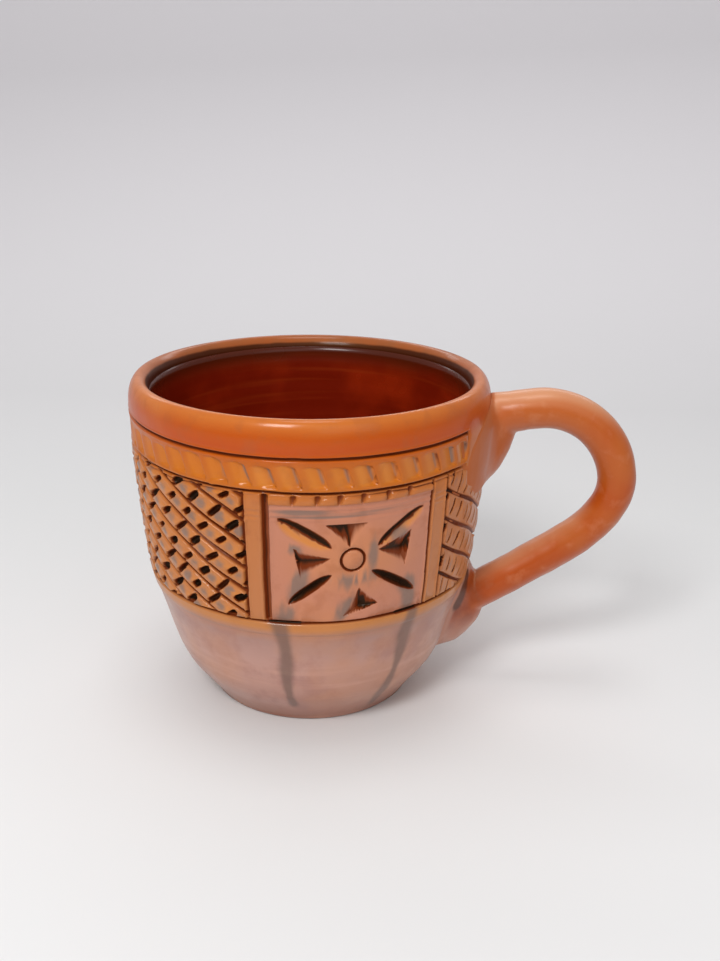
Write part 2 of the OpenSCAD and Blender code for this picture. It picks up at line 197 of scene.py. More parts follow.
def coordinates(obj):
    flat = np.empty(len(obj.data.vertices) * 3)
    obj.data.vertices.foreach_get("co", flat)
    return flat.reshape(-1, 3)


def place(obj, points):
    obj.data.vertices.foreach_set("co", np.asarray(points, float).ravel())
    obj.data.update()


def smooth_shaded(obj):
    only(obj)
    bpy.ops.object.shade_smooth()


def triangles(obj):
    obj.data.calc_loop_triangles()
    return len(obj.data.loop_triangles)


def report(obj):
    size = np.ptp(coordinates(obj), axis=0)
    print(f"{obj.name}: {triangles(obj)} triangles, {(size / MM).round(1).tolist()} mm")


print("mesh helpers ready")

# %% Helper: turn a profile
def turned(name, profile, steps):
    """Spins an open profile of radii and heights, in millimetres, all the way round."""
    bpy.ops.object.select_all(action="DESELECT")
    bpy.ops.mesh.primitive_circle_add(vertices=len(profile), fill_type="NOTHING")
    obj = bpy.context.object
    obj.name = name
    place(obj, [(r * MM, 0, z * MM) for r, z in profile])
    ends = {0, len(profile) - 1}
    bpy.ops.object.mode_set(mode="EDIT")
    bpy.ops.mesh.select_mode(type="EDGE")
    bpy.ops.mesh.select_all(action="DESELECT")
    bpy.ops.object.mode_set(mode="OBJECT")
    for edge in obj.data.edges:
        edge.select = set(edge.vertices) == ends
    bpy.ops.object.mode_set(mode="EDIT")
    bpy.ops.mesh.delete(type="EDGE")
    bpy.ops.mesh.select_all(action="SELECT")
    bpy.ops.mesh.spin(steps=steps, angle=2 * math.pi, center=(0, 0, 0), axis=(0, 0, 1))
    bpy.ops.mesh.select_all(action="SELECT")
    bpy.ops.mesh.remove_doubles(threshold=DOUBLE_GAP)
    bpy.ops.mesh.delete_loose()
    bpy.ops.mesh.normals_make_consistent(inside=False)
    bpy.ops.object.mode_set(mode="OBJECT")
    return obj


print("a profile can be turned")

# %% [markdown]
# A potter's blade leaves only a few kinds of marks: round-bottomed lines with clay pushed up along their
# lips, leaf cuts with one steep side, and three-sided chips. Each could be cut with a Boolean, but
# hundreds of those leave broken faces. So a mark is a small function: how deep the wall is cut at a
# distance from it.

# %% Tool marks
LEAF_POINT = 0.02
CHIP_SLOPE = 2.2
CHIP_BACK = 0.7


def step_up(value, low, high):
    """Goes smoothly from 0 at low to 1 at high."""
    t = np.clip((value - low) / (high - low), 0, 1)
    return t * t * (3 - 2 * t)


def groove(distance, width, depth):
    """A round-bottomed line of a width and depth."""
    return depth * np.clip(1 - (2 * distance / width) ** 2, 0, 1) ** 0.7


def lip(distance, width, height):
    """Clay pushed up on both sides of a line."""
    return height * np.exp(-((np.abs(distance) - width / 2 - 0.22) / 0.24) ** 2)


def waver(angle, seed, size):
    """A line drawn by hand: a slow wander that closes on itself round the mug."""
    mark = np.random.default_rng(seed)
    total = 0
    for turns in (3, 7, 13, 29):
        total = total + mark.uniform(0.4, 1) / math.sqrt(turns) * np.sin(
            np.radians(angle * turns) + mark.uniform(0, 2 * math.pi))
    return size * total


def stroke(x, z, start, end):
    """Distance from a straight stroke, and the place along it from 0 to 1."""
    along = np.subtract(end, start)
    length = math.hypot(*along)
    t = ((x - start[0]) * along[0] + (z - start[1]) * along[1]) / length ** 2
    inside = np.clip(t, 0, 1)
    return np.hypot(x - start[0] - inside * along[0], z - start[1] - inside * along[1]), inside


def blob(x, z, middle_x, middle_z, half_x, half_z):
    """A soft round patch, 1 in its middle."""
    return np.exp(-((x - middle_x) / half_x) ** 2 - ((z - middle_z) / half_z) ** 2)


def blade(x, z, start, end, steep, easy, open_side, depth):
    """A leaf cut with pointed ends, steep above and easy below: its depth, its shade and its lit side."""
    along = np.subtract(end, start)
    distance, t = stroke(x, z, start, end)
    above = ((z - start[1]) * along[0] - (x - start[0]) * along[1]) * np.sign(along[0]) > 0
    taper = np.clip(1 - np.abs(2 * t - 1) ** 3, LEAF_POINT, 1)
    part = distance / (np.where(above, steep, easy) * taper ** 0.6)
    cut = depth * taper * np.clip(1 - part, 0, 1) ** 1.15
    inside = step_up(cut, 0, 0.55)
    bright = open_side * step_up(part, 0.06, 0.34) * np.where(above, 0, 1)
    return cut, inside * (1 - bright), inside * bright


def chip(x, z, tip, corner_a, corner_b, depth):
    """A three-sided chip: two facets sink from its tip to a steep back, and one of them lies in shade."""
    tip, a, b = (np.array(p, float) for p in (tip, corner_a, corner_b))
    area = (a[0] - tip[0]) * (b[1] - tip[1]) - (b[0] - tip[0]) * (a[1] - tip[1])
    u = ((x - tip[0]) * (b[1] - tip[1]) - (b[0] - tip[0]) * (z - tip[1])) / area
    v = ((a[0] - tip[0]) * (z - tip[1]) - (x - tip[0]) * (a[1] - tip[1])) / area
    tall = abs(area) / np.hypot(*(a - b))
    back = (1 - u - v) * tall / CHIP_BACK * depth
    cut = np.clip(np.minimum(depth * CHIP_SLOPE * np.minimum(u, v), back), 0, depth)
    inside = step_up(cut, 0, 0.22)
    dark = 0.44 + 0.56 * step_up(u - v, -0.2, 0.04)
    return cut, inside * dark, inside * (1 - dark) * 0.5


print("tool marks ready")

# %% [markdown]
# Two flower panels stand on either side of the mug, between frame lines. A flower is four leaf cuts, four
# chips as petals and a ring pressed with the end of a reed. The cuts were made by hand and none repeats
# another, so each is given by its own places: millimetres to the right of the ring and above it.

# %% The flower panel
PANEL_ANGLES = (-71, 71)
FRAME_IN = 21.6
FRAME_OUT = 27.0
FIELD_FADE = 0.8
FIELD_FOOT = (-18.2, -17.2)
FIELD_HEAD = (14.7, 15.3)
# Each frame side: its side, its lean, the width and depth of its inner line, and its shade inside and outside
FRAME_SIDES = ((-1, 0.3, 2.0, 1.5, 1, 0.5), (1, -0.8, 1.0, 0.8, 0.75, 0.75))
OUTER_WIDTH = 1.0
OUTER_DEPTH = 0.9
# Each leaf cut: start, end, width of the steep and of the easy side, and how bright the easy side lies
LEAVES = (
    ((-18.8, 11.5), (-5.2, 3.2), 2.1, 3.1, 1.0),
    ((6.1, 2.8), (19.2, 11.4), 2.1, 2.2, 0.9),
    ((-16.6, -12.5), (-5.1, -3.9), 1.9, 1.2, 0.2),
    ((4.7, -3.6), (18.7, -12.3), 1.8, 1.3, 0.2))
LEAF_DEPTH = 1.9
# Each petal chip: tip, both corners and depth
CHIPS = (
    ((-0.9, 3.2), (-7.3, 9.8), (3.7, 9.7), 2.0),
    ((-5.4, 0.6), (-14.9, 3.6), (-13.2, -5.0), 1.7),
    ((6.1, 2.0), (15.6, 5.8), (14.6, -4.4), 1.7),
    ((1.8, -7.8), (7.6, -13.4), (-2.6, -16.4), 1.8))
RING_R = 3.0
RING_WIDTH = 0.85
RING_DEPTH = 0.8
NOTCHES = (-14.8, -9.1, -3.8, 1.9, 8.2, 14.0)
NOTCH_TOP = 17.0
NOTCH_FOOT = 15.4
NOTCH_WIDTH = 1.9
NOTCH_DEPTH = 0.7
# Each patch of grey wash: strength, lean and the height it leans from, middle, and half size
WASH_PATCHES = (
    (1.1, 0, 0, 5.2, 0.5, 1.4, 4.8),
    (1.2, 0, 0, 0.2, -5.6, 5.6, 1.5),
    (1.1, 0, 0, -13, 13.2, 7, 0.8),
    (0.8, 0, 0, -6, 11.8, 14, 0.4),
    (0.7, 0, 0, 6, 12.6, 10, 0.4),
    (1.4, 0.35, -5, -13.2, -6.5, 2.1, 4.4),
    (1.3, 0.5, -14, -1.8, -14.2, 2.1, 3.4),
    (1.2, 0, 0, 16.6, -14.2, 2.3, 4.8),
    (1.3, 0, 0, -17.4, -15.6, 2.8, 2.1),
    (1.1, 0, 0, 12.6, 4.6, 2.6, 2.6),
    (0.9, 0, 0, 15.4, -9.6, 3.2, 1.8),
    (1.0, 0, 0, -14.6, 3.4, 2.2, 1.2))


def deeper(marks, cut, shade, lit=0):
    """Adds a cut to the depth, shade and lit side of marks: the deepest and darkest of them stay."""
    for layer, values in zip(marks, (cut, shade, lit)):
        np.maximum(layer, values, out=layer)


def frame_lines(x, y, marks, seed):
    """The two upright lines on each side of the panel, and the clay pushed up along them."""
    raised = np.zeros_like(x)
    for side, lean, width, depth, shade_in, shade_out in FRAME_SIDES:
        inner = x - side * FRAME_IN - lean * (y / 36) - waver(y * 4, seed + side, 0.12)
        outer = x - side * FRAME_OUT - lean * (y / 36) - waver(y * 4, seed + 5 + side, 0.15)
        line = groove(inner, width, depth)
        deeper(marks, line, line / depth * np.where(inner < 0, shade_in, shade_out) * 0.8)
        line = groove(outer, OUTER_WIDTH, OUTER_DEPTH)
        deeper(marks, line, line * 0.6)
        raised = raised + lip(inner, width, 0.2) + lip(outer, OUTER_WIDTH, 0.3)
    return raised


def flower(x, y, marks):
    """Leaf cuts, petal chips, the pressed ring and the row of small notches over it."""
    for start, end, steep, easy, open_side in LEAVES:
        deeper(marks, *blade(x, y, start, end, steep, easy, open_side, LEAF_DEPTH))
    for tip, corner_a, corner_b, depth in CHIPS:
        cut, dark, bright = chip(x, y, tip, corner_a, corner_b, depth)
        deeper(marks, cut, dark * 0.95, bright)
    line = groove(np.hypot(x, y + 0.2) - RING_R, RING_WIDTH, RING_DEPTH)
    deeper(marks, line, line)
    for notch_x in NOTCHES:
        distance, t = stroke(x, y, (notch_x + 0.2, NOTCH_TOP), (notch_x - 0.1, NOTCH_FOOT))
        line = groove(distance, NOTCH_WIDTH - 1.0 * t, NOTCH_DEPTH)
        deeper(marks, line, line * (0.75 - 0.3 * t))


def panel(x, y, seed):
    """Depth of the cuts, raised clay, recess, shade, lit facets and wash of one flower panel."""
    marks = np.zeros((3, len(x)))
    raised = frame_lines(x, y, marks, seed)
    flower(x, y, marks)
    cut, shade, lit = marks
    field = step_up(x, -FRAME_IN, -FRAME_IN + FIELD_FADE) * (1 - step_up(x, FRAME_IN - FIELD_FADE, FRAME_IN))
    field = field * step_up(y, *FIELD_FOOT) * (1 - step_up(y, *FIELD_HEAD))
    strip = step_up(y, 14.7, 15.6) * (1 - step_up(y, 16.4, 17.6)) * (np.abs(x) < FRAME_IN - 0.6)
    raised = raised + 0.4 * strip + 0.12 * np.sin(y * 4.2 + np.sin(x / 5)) * step_up(y, 9, 12) * (y < 14)
    wash = np.zeros_like(x)
    for strength, lean, lean_from, *patch in WASH_PATCHES:
        wash += strength * blob(x - lean * (y - lean_from), y, *patch)
    # A painted highlight round the middle of the flower
    lit = np.maximum(lit, 0.34 * np.exp(-np.hypot(x / 15, y / 9.5) ** 4))
    return cut, raised, field, shade, lit, wash


print("a flower has", len(LEAVES), "leaf cuts,", len(CHIPS), "chips and", len(NOTCHES), "notches over it")

# %% [markdown]
# Between the panels the wall has a lattice: long lines that slant down to the right, and between them
# short deep notches that climb in rows. A repeating pattern would look printed, and placing each mark by
# hand would take a long table. So the lattice is worked out row by row, and each mark gets its own small
# turn and size.

# %% The lattice
SIZES = 61
LINE_SLANT = 28.8
NOTCH_SLANT = 57.6
rng = np.random.default_rng(7)
mark_sizes = rng.uniform(-1, 1, (SIZES, SIZES, 5))
BACK_LATTICE = {
    "pitch": 6.6, "line_width": 1.35, "line_depth": 1.05,
    "notch_step": 5.9, "notch_start": 1.0, "notch_length": 4.3, "notch_width": 1.8, "notch_depth": 1.5,
    "row_slant": NOTCH_SLANT, "notch_slant": 34}
SIDE_LATTICE = {
    "pitch": 7.8, "line_width": 1.1, "line_depth": 0.75,
    "notch_step": 3.9, "notch_start": 0, "notch_length": 5.2, "notch_width": 0.8, "notch_depth": 0.6,
    "row_slant": 68, "notch_slant": 68}


def lattice(x, z, pitch, line_width, line_depth, notch_step, notch_start, notch_length, notch_width,
            notch_depth, row_slant, notch_slant):
    """Depth of the cuts, raised clay, shade and wash of slanting lines and the notches between them."""
    slant = math.radians(LINE_SLANT)
    thick = pitch * math.cos(slant)
    across = x * math.sin(slant) + z * math.cos(slant)
    along = x * math.cos(slant) - z * math.sin(slant)
    across = across + 0.22 * np.sin(along / 3.1 + 1.7 * np.round(across / thick)) * 0.6
    row = np.floor(across / thick)
    nearest = np.round(across / thick)
    size = mark_sizes[(nearest.astype(int) * 7) % SIZES, 3, :]
    off_line = across - nearest * thick
    width = line_width * (1 + 0.18 * size[:, 0] + 0.12 * np.sin(along / 2.3 + size[:, 1] * 9))
    cut = groove(off_line, width, line_depth * (1 + 0.15 * size[:, 2]))
    shade = 0.74 * cut / line_depth
    raised = lip(off_line, width, 0.14) + 0.6 * np.sin(math.pi * off_line / thick) ** 2
    row_turn = math.radians(LINE_SLANT + row_slant)
    turn = math.radians(LINE_SLANT + notch_slant)
    wash = np.zeros_like(x)
    for near in (-1, 0, 1):
        strip = row + near
        middle_across = (strip + 0.5) * thick
        shift = thick / math.tan(row_turn) * strip
        number = np.round((along - shift - notch_start) / notch_step)
        size = mark_sizes[strip.astype(int) % SIZES, number.astype(int) % SIZES, :]
        da = along - shift - notch_start - number * notch_step - 0.35 * size[:, 0]
        dc = across - middle_across - 0.25 * size[:, 1]
        angle = turn + 0.16 * size[:, 2]
        lengthwise = da * np.cos(angle) + dc * np.sin(angle)
        sideways = -da * np.sin(angle) + dc * np.cos(angle)
        half = notch_length / 2 * (1 + 0.22 * size[:, 3])
        taper = np.clip(1 - np.abs(lengthwise / half) ** 4, 0, 1)
        wide = notch_width * (1 + 0.22 * size[:, 4]) * np.maximum(taper, 0.01) ** 0.4
        mark = notch_depth * taper ** 0.6 * np.clip(1 - np.abs(2 * sideways / wide) ** 3, 0, 1)
        cut = np.maximum(cut, mark)
        shade = np.maximum(shade, step_up(mark / notch_depth, 0, 0.5) * (0.88 + 0.15 * size[:, 4]))
        raised = raised + 0.13 * taper * np.exp(-((np.abs(sideways) - wide / 2 - 0.2) / 0.22) ** 2)
        cell = np.mod(along - shift - notch_start, notch_step) - notch_step / 2
        between = blob(cell + 0.5, dc, 0, 0, notch_step * 0.25, thick * 0.27)
        wash = np.maximum(wash, between * (0.95 + 0.5 * size[:, 2]))
    return cut, raised, shade, wash


print("lattice lines are", BACK_LATTICE["pitch"], "and", SIDE_LATTICE["pitch"], "mm apart")

# %% [markdown]
# The masks and depths of all marks are kept together while the wall is carved: one number for each place
# on the wall. Lines round the mug come first. The potter draws them with a pointed tool while the wheel
# turns, so they wander a little and close on themselves.

# %% Lines drawn round the mug
PLAIN_HALF = 29
UNDER_HALF = 13
LINE_WIDTH = 0.95
SECOND_LINE_DOWN = 1.1
LEDGE_LINE_UP = 0.4
HOOK_LENGTH = 3.5
# Where glaze pooled along the ledge under each panel: start and end, from the middle of the panel
POOLS = ((-21.6, -13.4), (13.0, 19.5))
POOL_UP = 0.3
POOL_HALF = 0.66


class Marks:
    """All that the blade does at places on the wall, and the masks that the colours will need."""

    def __init__(self, angle, z):
        self.angle = angle
        self.z = z
        self.around = angle * MM_PER_DEGREE
        self.from_handle = np.abs(angle)
        self.decorated = step_up(self.from_handle, PLAIN_HALF - 0.6, PLAIN_HALF + 0.6)
        self.in_wall = step_up(z, LEDGE_TOP + 0.6, LEDGE_TOP + 1.2)
        self.in_wall = self.in_wall * (1 - step_up(z, LOWER_LINE - 0.9, LOWER_LINE - 0.3))
        layers = np.zeros((7, len(angle)))
        self.cut, self.raised, self.shade, self.lit, self.wash, self.field, self.flute = layers


def ring_lines(marks):
    """The upper line, the lower one with a second stroke under it, the line over the ledge, and the hooks."""
    z = marks.z
    upper = z - UPPER_LINE - waver(marks.angle, 1, 0.14)
    lower = z - LOWER_LINE - waver(marks.angle, 2, 0.16)
    second = z - LOWER_LINE + SECOND_LINE_DOWN - waver(marks.angle, 3, 0.3)
    low = z - LEDGE_TOP - LEDGE_LINE_UP - waver(marks.angle, 4, 0.12)
    line = np.maximum(groove(upper, LINE_WIDTH, 0.85), groove(lower, LINE_WIDTH, 0.9)) * marks.decorated
    low_part = step_up(marks.from_handle, UNDER_HALF + 4, UNDER_HALF + 6)
    line = np.maximum(line, groove(low, 1.1, 0.8) * low_part)
    for side in (-1, 1):
        hook, t = stroke(marks.around, z, (side * PLAIN_HALF * MM_PER_DEGREE, UPPER_LINE),
                         (side * (PLAIN_HALF - 0.5) * MM_PER_DEGREE, UPPER_LINE - HOOK_LENGTH))
        line = np.maximum(line, groove(hook, 0.8, 0.7 * (1 - t)))
    fading = 0.5 + 0.5 * np.sin(np.radians(marks.angle * 5))
    double = groove(second, 0.6, 0.35 * fading) * marks.decorated
    marks.raised += lip(z - UPPER_LINE, LINE_WIDTH, 0.1) * marks.decorated
    marks.raised += lip(lower, LINE_WIDTH, 0.12) * marks.decorated
    marks.cut = np.maximum(line, double)
    marks.shade = np.maximum(line, double * 1.4) * 0.82


def pooled_glaze(marks):
    """The wide dark strokes where glaze ran together on the ledge, under the ends of each panel."""
    for middle in PANEL_ANGLES:
        for start, end in POOLS:
            away, t = stroke(marks.around - middle * MM_PER_DEGREE, marks.z,
                             (start, LEDGE_TOP + POOL_UP), (end, LEDGE_TOP + POOL_UP))
            marks.shade = np.maximum(marks.shade, 1.2 * np.exp(-(away / POOL_HALF) ** 2))
            marks.cut = np.maximum(marks.cut, groove(away, 1.7, 0.9))


print("lines at", UPPER_LINE, LOWER_LINE, "and", LEDGE_TOP + LEDGE_LINE_UP, "mm")

# %% [markdown]
# The band under the collar is cut in slanting scoops. Each sinks slowly and ends in a steep step where
# the blade came out, and the grey wash stayed along that step. An array of one modelled scoop would make
# all of them alike. Here each takes its depth, its top and its wash from its own numbers.

# %% The band of scoops
SCOOPS = 49
SCOOP_STEP = 360 / SCOOPS
SCOOP_LEAN = 0.42
SCOOP_DEPTH = 1.15
# Shares of a scoop's width: the slow slope down, and the steep step up
SLOPE_SHARE = 0.84
RISE_SHARE = 0.16


def scoops(marks):
    """The slanting scoops of the band, with their shade, their lit middles and the wash in them."""
    z = marks.z
    shifted = marks.angle - SCOOP_LEAN * (UPPER_LINE - 2 - z)
    number = np.floor(shifted / SCOOP_STEP)
    part = shifted / SCOOP_STEP - number
    size = mark_sizes[number.astype(int) % SIZES, 11, :]
    sink = np.where(part < SLOPE_SHARE, (part / SLOPE_SHARE) ** 1.4, (1 - part) / RISE_SHARE)
    top = UPPER_LINE - 1.6 + 0.5 * size[:, 0] - 0.6 * (1 - np.sin(math.pi * part))
    window = step_up(z, LOWER_LINE + 0.9, LOWER_LINE + 1.9) * (1 - step_up(z, top - 0.5, top + 0.4))
    marks.flute = SCOOP_DEPTH * (1 + 0.25 * size[:, 1]) * sink * window * marks.decorated
    streak = np.exp(-((part - 0.86 - 0.05 * size[:, 3]) / 0.1) ** 2)
    streak = streak * step_up(z, LOWER_LINE + 1.2, LOWER_LINE + 3)
    marks.wash += window * marks.decorated * streak * (0.8 + 0.5 * size[:, 2])
    # Painted shade along the steep step of each scoop
    step = np.exp(-((part - 0.93) / 0.065) ** 2) * window * marks.decorated
    marks.shade = np.maximum(marks.shade, step * (0.5 + 0.14 * size[:, 4]))
    # A painted highlight on the slow slope of each scoop
    glow = np.exp(-((part - 0.45) / 0.26) ** 2) * (1 + 0.5 * size[:, 1])
    marks.lit += 0.6 * window * marks.decorated * glow


print(SCOOPS, "scoops in the band")

# %% [markdown]
# Now the panels and the lattice are set in their places between the ledge and the lower line. The lattice
# behind runs from one panel round to the other, and a finer one lies between each panel and the handle.

# %% Panels and lattice in their places
BACK_MIDDLE = 58.7
SIDE_MIDDLE = 68.5
# Crumbs of clay that the blade left, by distance from the handle along the wall and height
BURRS = ((83.5, 65.7), (85.1, 44.6), (91.5, 73.7), (17.2, 60.5), (9.6, 48.2), (10.4, 42.0))


def flower_panels(marks):
    for number, middle in enumerate(PANEL_ANGLES):
        x = (marks.angle - middle) * MM_PER_DEGREE
        near = np.abs(x) < FRAME_OUT + 1.2
        cut, raised, field, shade, lit, wash = panel(x[near], marks.z[near] - CARVED_MID, 20 + number)
        inside = marks.in_wall[near]
        marks.cut[near] = np.maximum(marks.cut[near], cut * inside)
        marks.shade[near] = np.maximum(marks.shade[near], shade * inside)
        marks.raised[near] += raised * inside
        marks.field[near] = field
        marks.lit[near] = np.maximum(marks.lit[near], lit * inside)
        marks.wash[near] += wash


def back_lattice(marks):
    panel_edge = FRAME_OUT / MM_PER_DEGREE + PANEL_ANGLES[1]
    back = marks.from_handle > panel_edge
    x = (np.where(marks.angle < 0, marks.angle, marks.angle - 360)[back] + panel_edge) * MM_PER_DEGREE
    cut, raised, shade, wash = lattice(x, marks.z[back] - BACK_MIDDLE, **BACK_LATTICE)
    inside = marks.in_wall[back]
    marks.cut[back] = np.maximum(marks.cut[back], cut * inside)
    marks.shade[back] = np.maximum(marks.shade[back], shade * inside)
    marks.raised[back] += raised * inside
    marks.wash[back] += wash * inside
    # A painted highlight on the raised cells of the lattice
    marks.lit[back] = (0.12 + 0.8 * raised) * inside


def side_lattice(marks):
    """The finer lattice on both sides of the handle, which fades where the pressed clay covers it."""
    panel_edge = PANEL_ANGLES[1] - FRAME_OUT / MM_PER_DEGREE
    side = marks.from_handle < panel_edge
    from_handle = marks.from_handle[side]
    edge = PLAIN_HALF * np.clip((marks.z[side] - 58.5) / 9, 0, 1)
    fade = marks.in_wall[side] * step_up(from_handle, edge - 2, edge)
    x = (marks.angle[side] + panel_edge) * MM_PER_DEGREE
    cut, raised, shade, wash = lattice(x, marks.z[side] - SIDE_MIDDLE, **SIDE_LATTICE)
    start = np.exp(-(panel_edge - from_handle) * MM_PER_DEGREE / 6)
    marks.cut[side] = np.maximum(marks.cut[side], cut * fade * (0.75 + 0.4 * start))
    marks.shade[side] = np.maximum(marks.shade[side], shade * fade * (0.8 + 0.5 * start))
    marks.raised[side] += 0.45 * raised * fade
    marks.wash[side] += 0.4 * wash * fade


def burrs(marks):
    for burr_x, burr_z in BURRS:
        for side in (-1, 1):
            marks.raised += 0.5 * blob(marks.around * side, marks.z, burr_x, burr_z, 0.7, 0.6)


print("panels at", PANEL_ANGLES, "degrees from the handle")

# %% The whole wall
SUNK = 0.3
TALLEST_LIP = 0.6


def carve(angle, z):
    """All marks at places on the mug, and the height over the plain wall, in millimetres."""
    marks = Marks(angle, z)
    for step in (ring_lines, pooled_glaze, scoops, flower_panels, back_lattice, side_lattice, burrs):
        step(marks)
    below_band = 1 - step_up(z, LOWER_LINE - 0.3, LOWER_LINE + 0.3)
    above_ledge = step_up(z, LEDGE_TOP - 0.2, LEDGE_TOP + 0.5)
    sunk = SUNK * below_band * above_ledge * marks.decorated + SUNK * marks.field
    pushed_up = np.minimum(marks.raised, TALLEST_LIP) * np.exp(-marks.cut / 0.12)
    marks.height = -np.maximum(marks.cut, marks.flute) - sunk + pushed_up
    return marks


deepest = carve(np.linspace(-180, 180, 2000), np.full(2000, CARVED_MID)).height.min()
print("deepest cut half way up the carved wall:", round(-deepest, 2), "mm")

# %% [markdown]
# The body is turned in two plain parts, the bowl below and the lip and inside above. The carved wall
# between them starts as a fine flat sheet that is wrapped round, carved by moving its points, thinned
# where it is flat, and bridged to both. One turned piece with the same fine faces all over would be far
# too heavy: only the wall needs so many.

# %% The carved wall
WALL_LOW = LEDGE_TOP + 0.05
WALL_HIGH = UPPER_LINE + 1.2
WALL_FADE = 0.15
SHEET_COLUMNS = 1600
SHEET_ROWS = 224
WALL_TRIANGLES = 138000


def wrapped(radius, turn, z):
    """Points at a radius, a turn round the axis and a height, all in millimetres and radians."""
    return np.column_stack((radius * np.cos(turn), radius * np.sin(turn), z)) * MM


bpy.ops.object.select_all(action="DESELECT")
bpy.ops.mesh.primitive_grid_add(x_subdivisions=SHEET_COLUMNS, y_subdivisions=SHEET_ROWS, size=1)
carved = bpy.context.object
carved.name = "carved_wall"
sheet = coordinates(carved)
angle = sheet[:, 0] * 360
z = WALL_LOW + (sheet[:, 1] + 0.5) * (WALL_HIGH - WALL_LOW)
edge_fade = step_up(z, WALL_LOW, WALL_LOW + WALL_FADE) * (1 - step_up(z, WALL_HIGH - WALL_FADE, WALL_HIGH))
place(carved, wrapped(wall_r(z) + carve(angle, z).height * edge_fade, np.radians(angle), z))
merged(carved)
full = triangles(carved)
applied(carved, "DECIMATE", ratio=WALL_TRIANGLES / full)
print("carved wall:", full, "triangles, thinned to", triangles(carved))

# %% [markdown]
# The plain parts of the body are profiles for the wheel. The foot and the ledge have small rounded edges,
# because wet clay keeps no sharp ones, and the lip is a full round. Both parts end exactly where the
# carved wall begins, so that their open edges can be bridged.

# %% The bowl, the lip and the inside
WALL = 5.4
FLOOR = 6.5
LIP_R = MOUTH_R - WALL / 2
LIP_INSIDE = HEIGHT - 4
LIP_OUTSIDE_RISE = 6
LIP_INSIDE_RISE = 4
TURNS = 288
INSIDE_ROWS = 14
INSIDE_ROUND = 2 / 2.2
# Points of the rounded foot, by distance past its flat and height
FOOT_ROUND = ((0, 0), (0.5, 0.15), (0.95, 0.55))
low_profile = [(0, 0)] + [(FOOT_R * k / 4, 0) for k in range(1, 4)]
low_profile += [(FOOT_R + past, height) for past, height in FOOT_ROUND]
low_profile += [tuple(p) for p in bowl_side]
for k in range(1, 6):
    rise = (LEDGE_TOP - LEDGE_LOW) / 2 * (1 - math.cos(math.radians(30 * k)))
    low_profile.append((BOWL_TOP_R + LEDGE_STEP * math.sin(math.radians(15 * k)), LEDGE_LOW + rise))
low_profile += [(LEDGE_R, LEDGE_TOP - 0.1)]
lip_profile = []
for k in range(21):
    turn = math.radians(9 * k)
    low_end, rise = (WIDEST, LIP_OUTSIDE_RISE) if k <= 10 else (LIP_INSIDE, LIP_INSIDE_RISE)
    lip_profile.append((LIP_R + WALL / 2 * math.cos(turn), low_end + rise * math.sin(turn)))


def inside_profile(lining, rows):
    """The inside of the mug, from below the lip down to the middle of the floor."""
    points = [(MOUTH_R - WALL - lining, LIP_INSIDE)]
    for k in range(rows + 1):
        height = WIDEST - 0.5 + (LEDGE_TOP - WIDEST + 0.5) * k / rows
        points.append((float(swell(height)) - WALL - lining, height))
    low = FLOOR + lining
    for k in range(1, rows + 1):
        turn = math.radians(90 * k / rows)
        points.append(((LEDGE_R - WALL - lining) * math.cos(turn) ** INSIDE_ROUND,
                       LEDGE_TOP - (LEDGE_TOP - low) * math.sin(turn) ** INSIDE_ROUND))
    points[-1] = (0, low)
    return points


high_profile = [(float(swell(WALL_HIGH + 0.1)), WALL_HIGH + 0.1)] + lip_profile[:-1]
high_profile += inside_profile(0, INSIDE_ROWS)
bowl = turned("bowl", low_profile, TURNS)
upper = turned("lip_and_inside", high_profile, TURNS)
report(bowl)
report(upper)

# %% [markdown]
# The three parts become one piece of clay. A Boolean union could join them, but their edges only meet,
# with nothing to overlap. Bridging the open edges makes the missing ring of faces and closes the body.

# %% Bridge the parts into one closed body
BRIDGE_REACH = 0.5


def select_open_edges(obj, height):
    """Selects the open edges of an object near a height, and stays in edit mode."""
    only(obj)
    bpy.ops.object.mode_set(mode="EDIT")
    bpy.ops.mesh.select_mode(type="EDGE")
    bpy.ops.mesh.select_all(action="DESELECT")
    bpy.ops.mesh.select_non_manifold(extend=False, use_wire=False, use_boundary=True,
                                     use_multi_face=False, use_non_contiguous=False, use_verts=False)
    bpy.ops.object.mode_set(mode="OBJECT")
    heights = coordinates(obj)[:, 2] / MM
    for edge in obj.data.edges:
        if edge.select:
            edge.select = bool((np.abs(heights[list(edge.vertices)] - height) < BRIDGE_REACH).all())
    bpy.ops.object.mode_set(mode="EDIT")


body = joined((upper, carved, bowl), bowl)
body.name = "carved_body"
for height in (LEDGE_TOP, WALL_HIGH):
    select_open_edges(body, height)
    bpy.ops.mesh.bridge_edge_loops()
    bpy.ops.object.mode_set(mode="OBJECT")
merged(body)
smooth_shaded(body)
report(body)

# %% [markdown]
# The rim isn't quite level: wet clay leans as it is lifted off the wheel. A Simple Deform or a lattice
# could lean the whole mug, but only its rim moved, so its points are lifted by where they stand.

# %% A rim that is not quite level
LEAN_FROM = 84
LIFT = 1.6
DROP = 0.4


def by_hand(obj):
    """Lifts the rim a little at the front and lets it sink at the back, as wet clay does in the hand."""
    points = coordinates(obj) / MM
    front = np.cos(np.arctan2(points[:, 1], points[:, 0]) + math.radians(LEAN_FROM))
    points[:, 2] += (LIFT * front - DROP) * step_up(points[:, 2], WALL_HIGH + 0.2, HEIGHT - 1)
    place(obj, points * MM)


by_hand(body)
print("rim height at the front:", (coordinates(body)[:, 2].max() / MM).round(2), "mm")

# %% [markdown]
# The colours follow the carving: glaze pools dark in the cuts, with painted shade on the sides turned from
# the light and painted highlights on the lit ones, and a grey wash settled in the hollows and ran down the
# bowl. A shader can't tell a cut from a hollow, so what the blade did is kept on the points of the mesh as
# masks, and the finish reads them.

# %% Masks for the finish
# Each run of wash down the bowl: where it starts, how far it strays, and the height where it ends
DRIPS = ((-94.0, 1.5, 6.0), (-48.0, -2.6, 2.0), (48.0, 2.0, 4.0), (93.0, -1.4, 8.0))


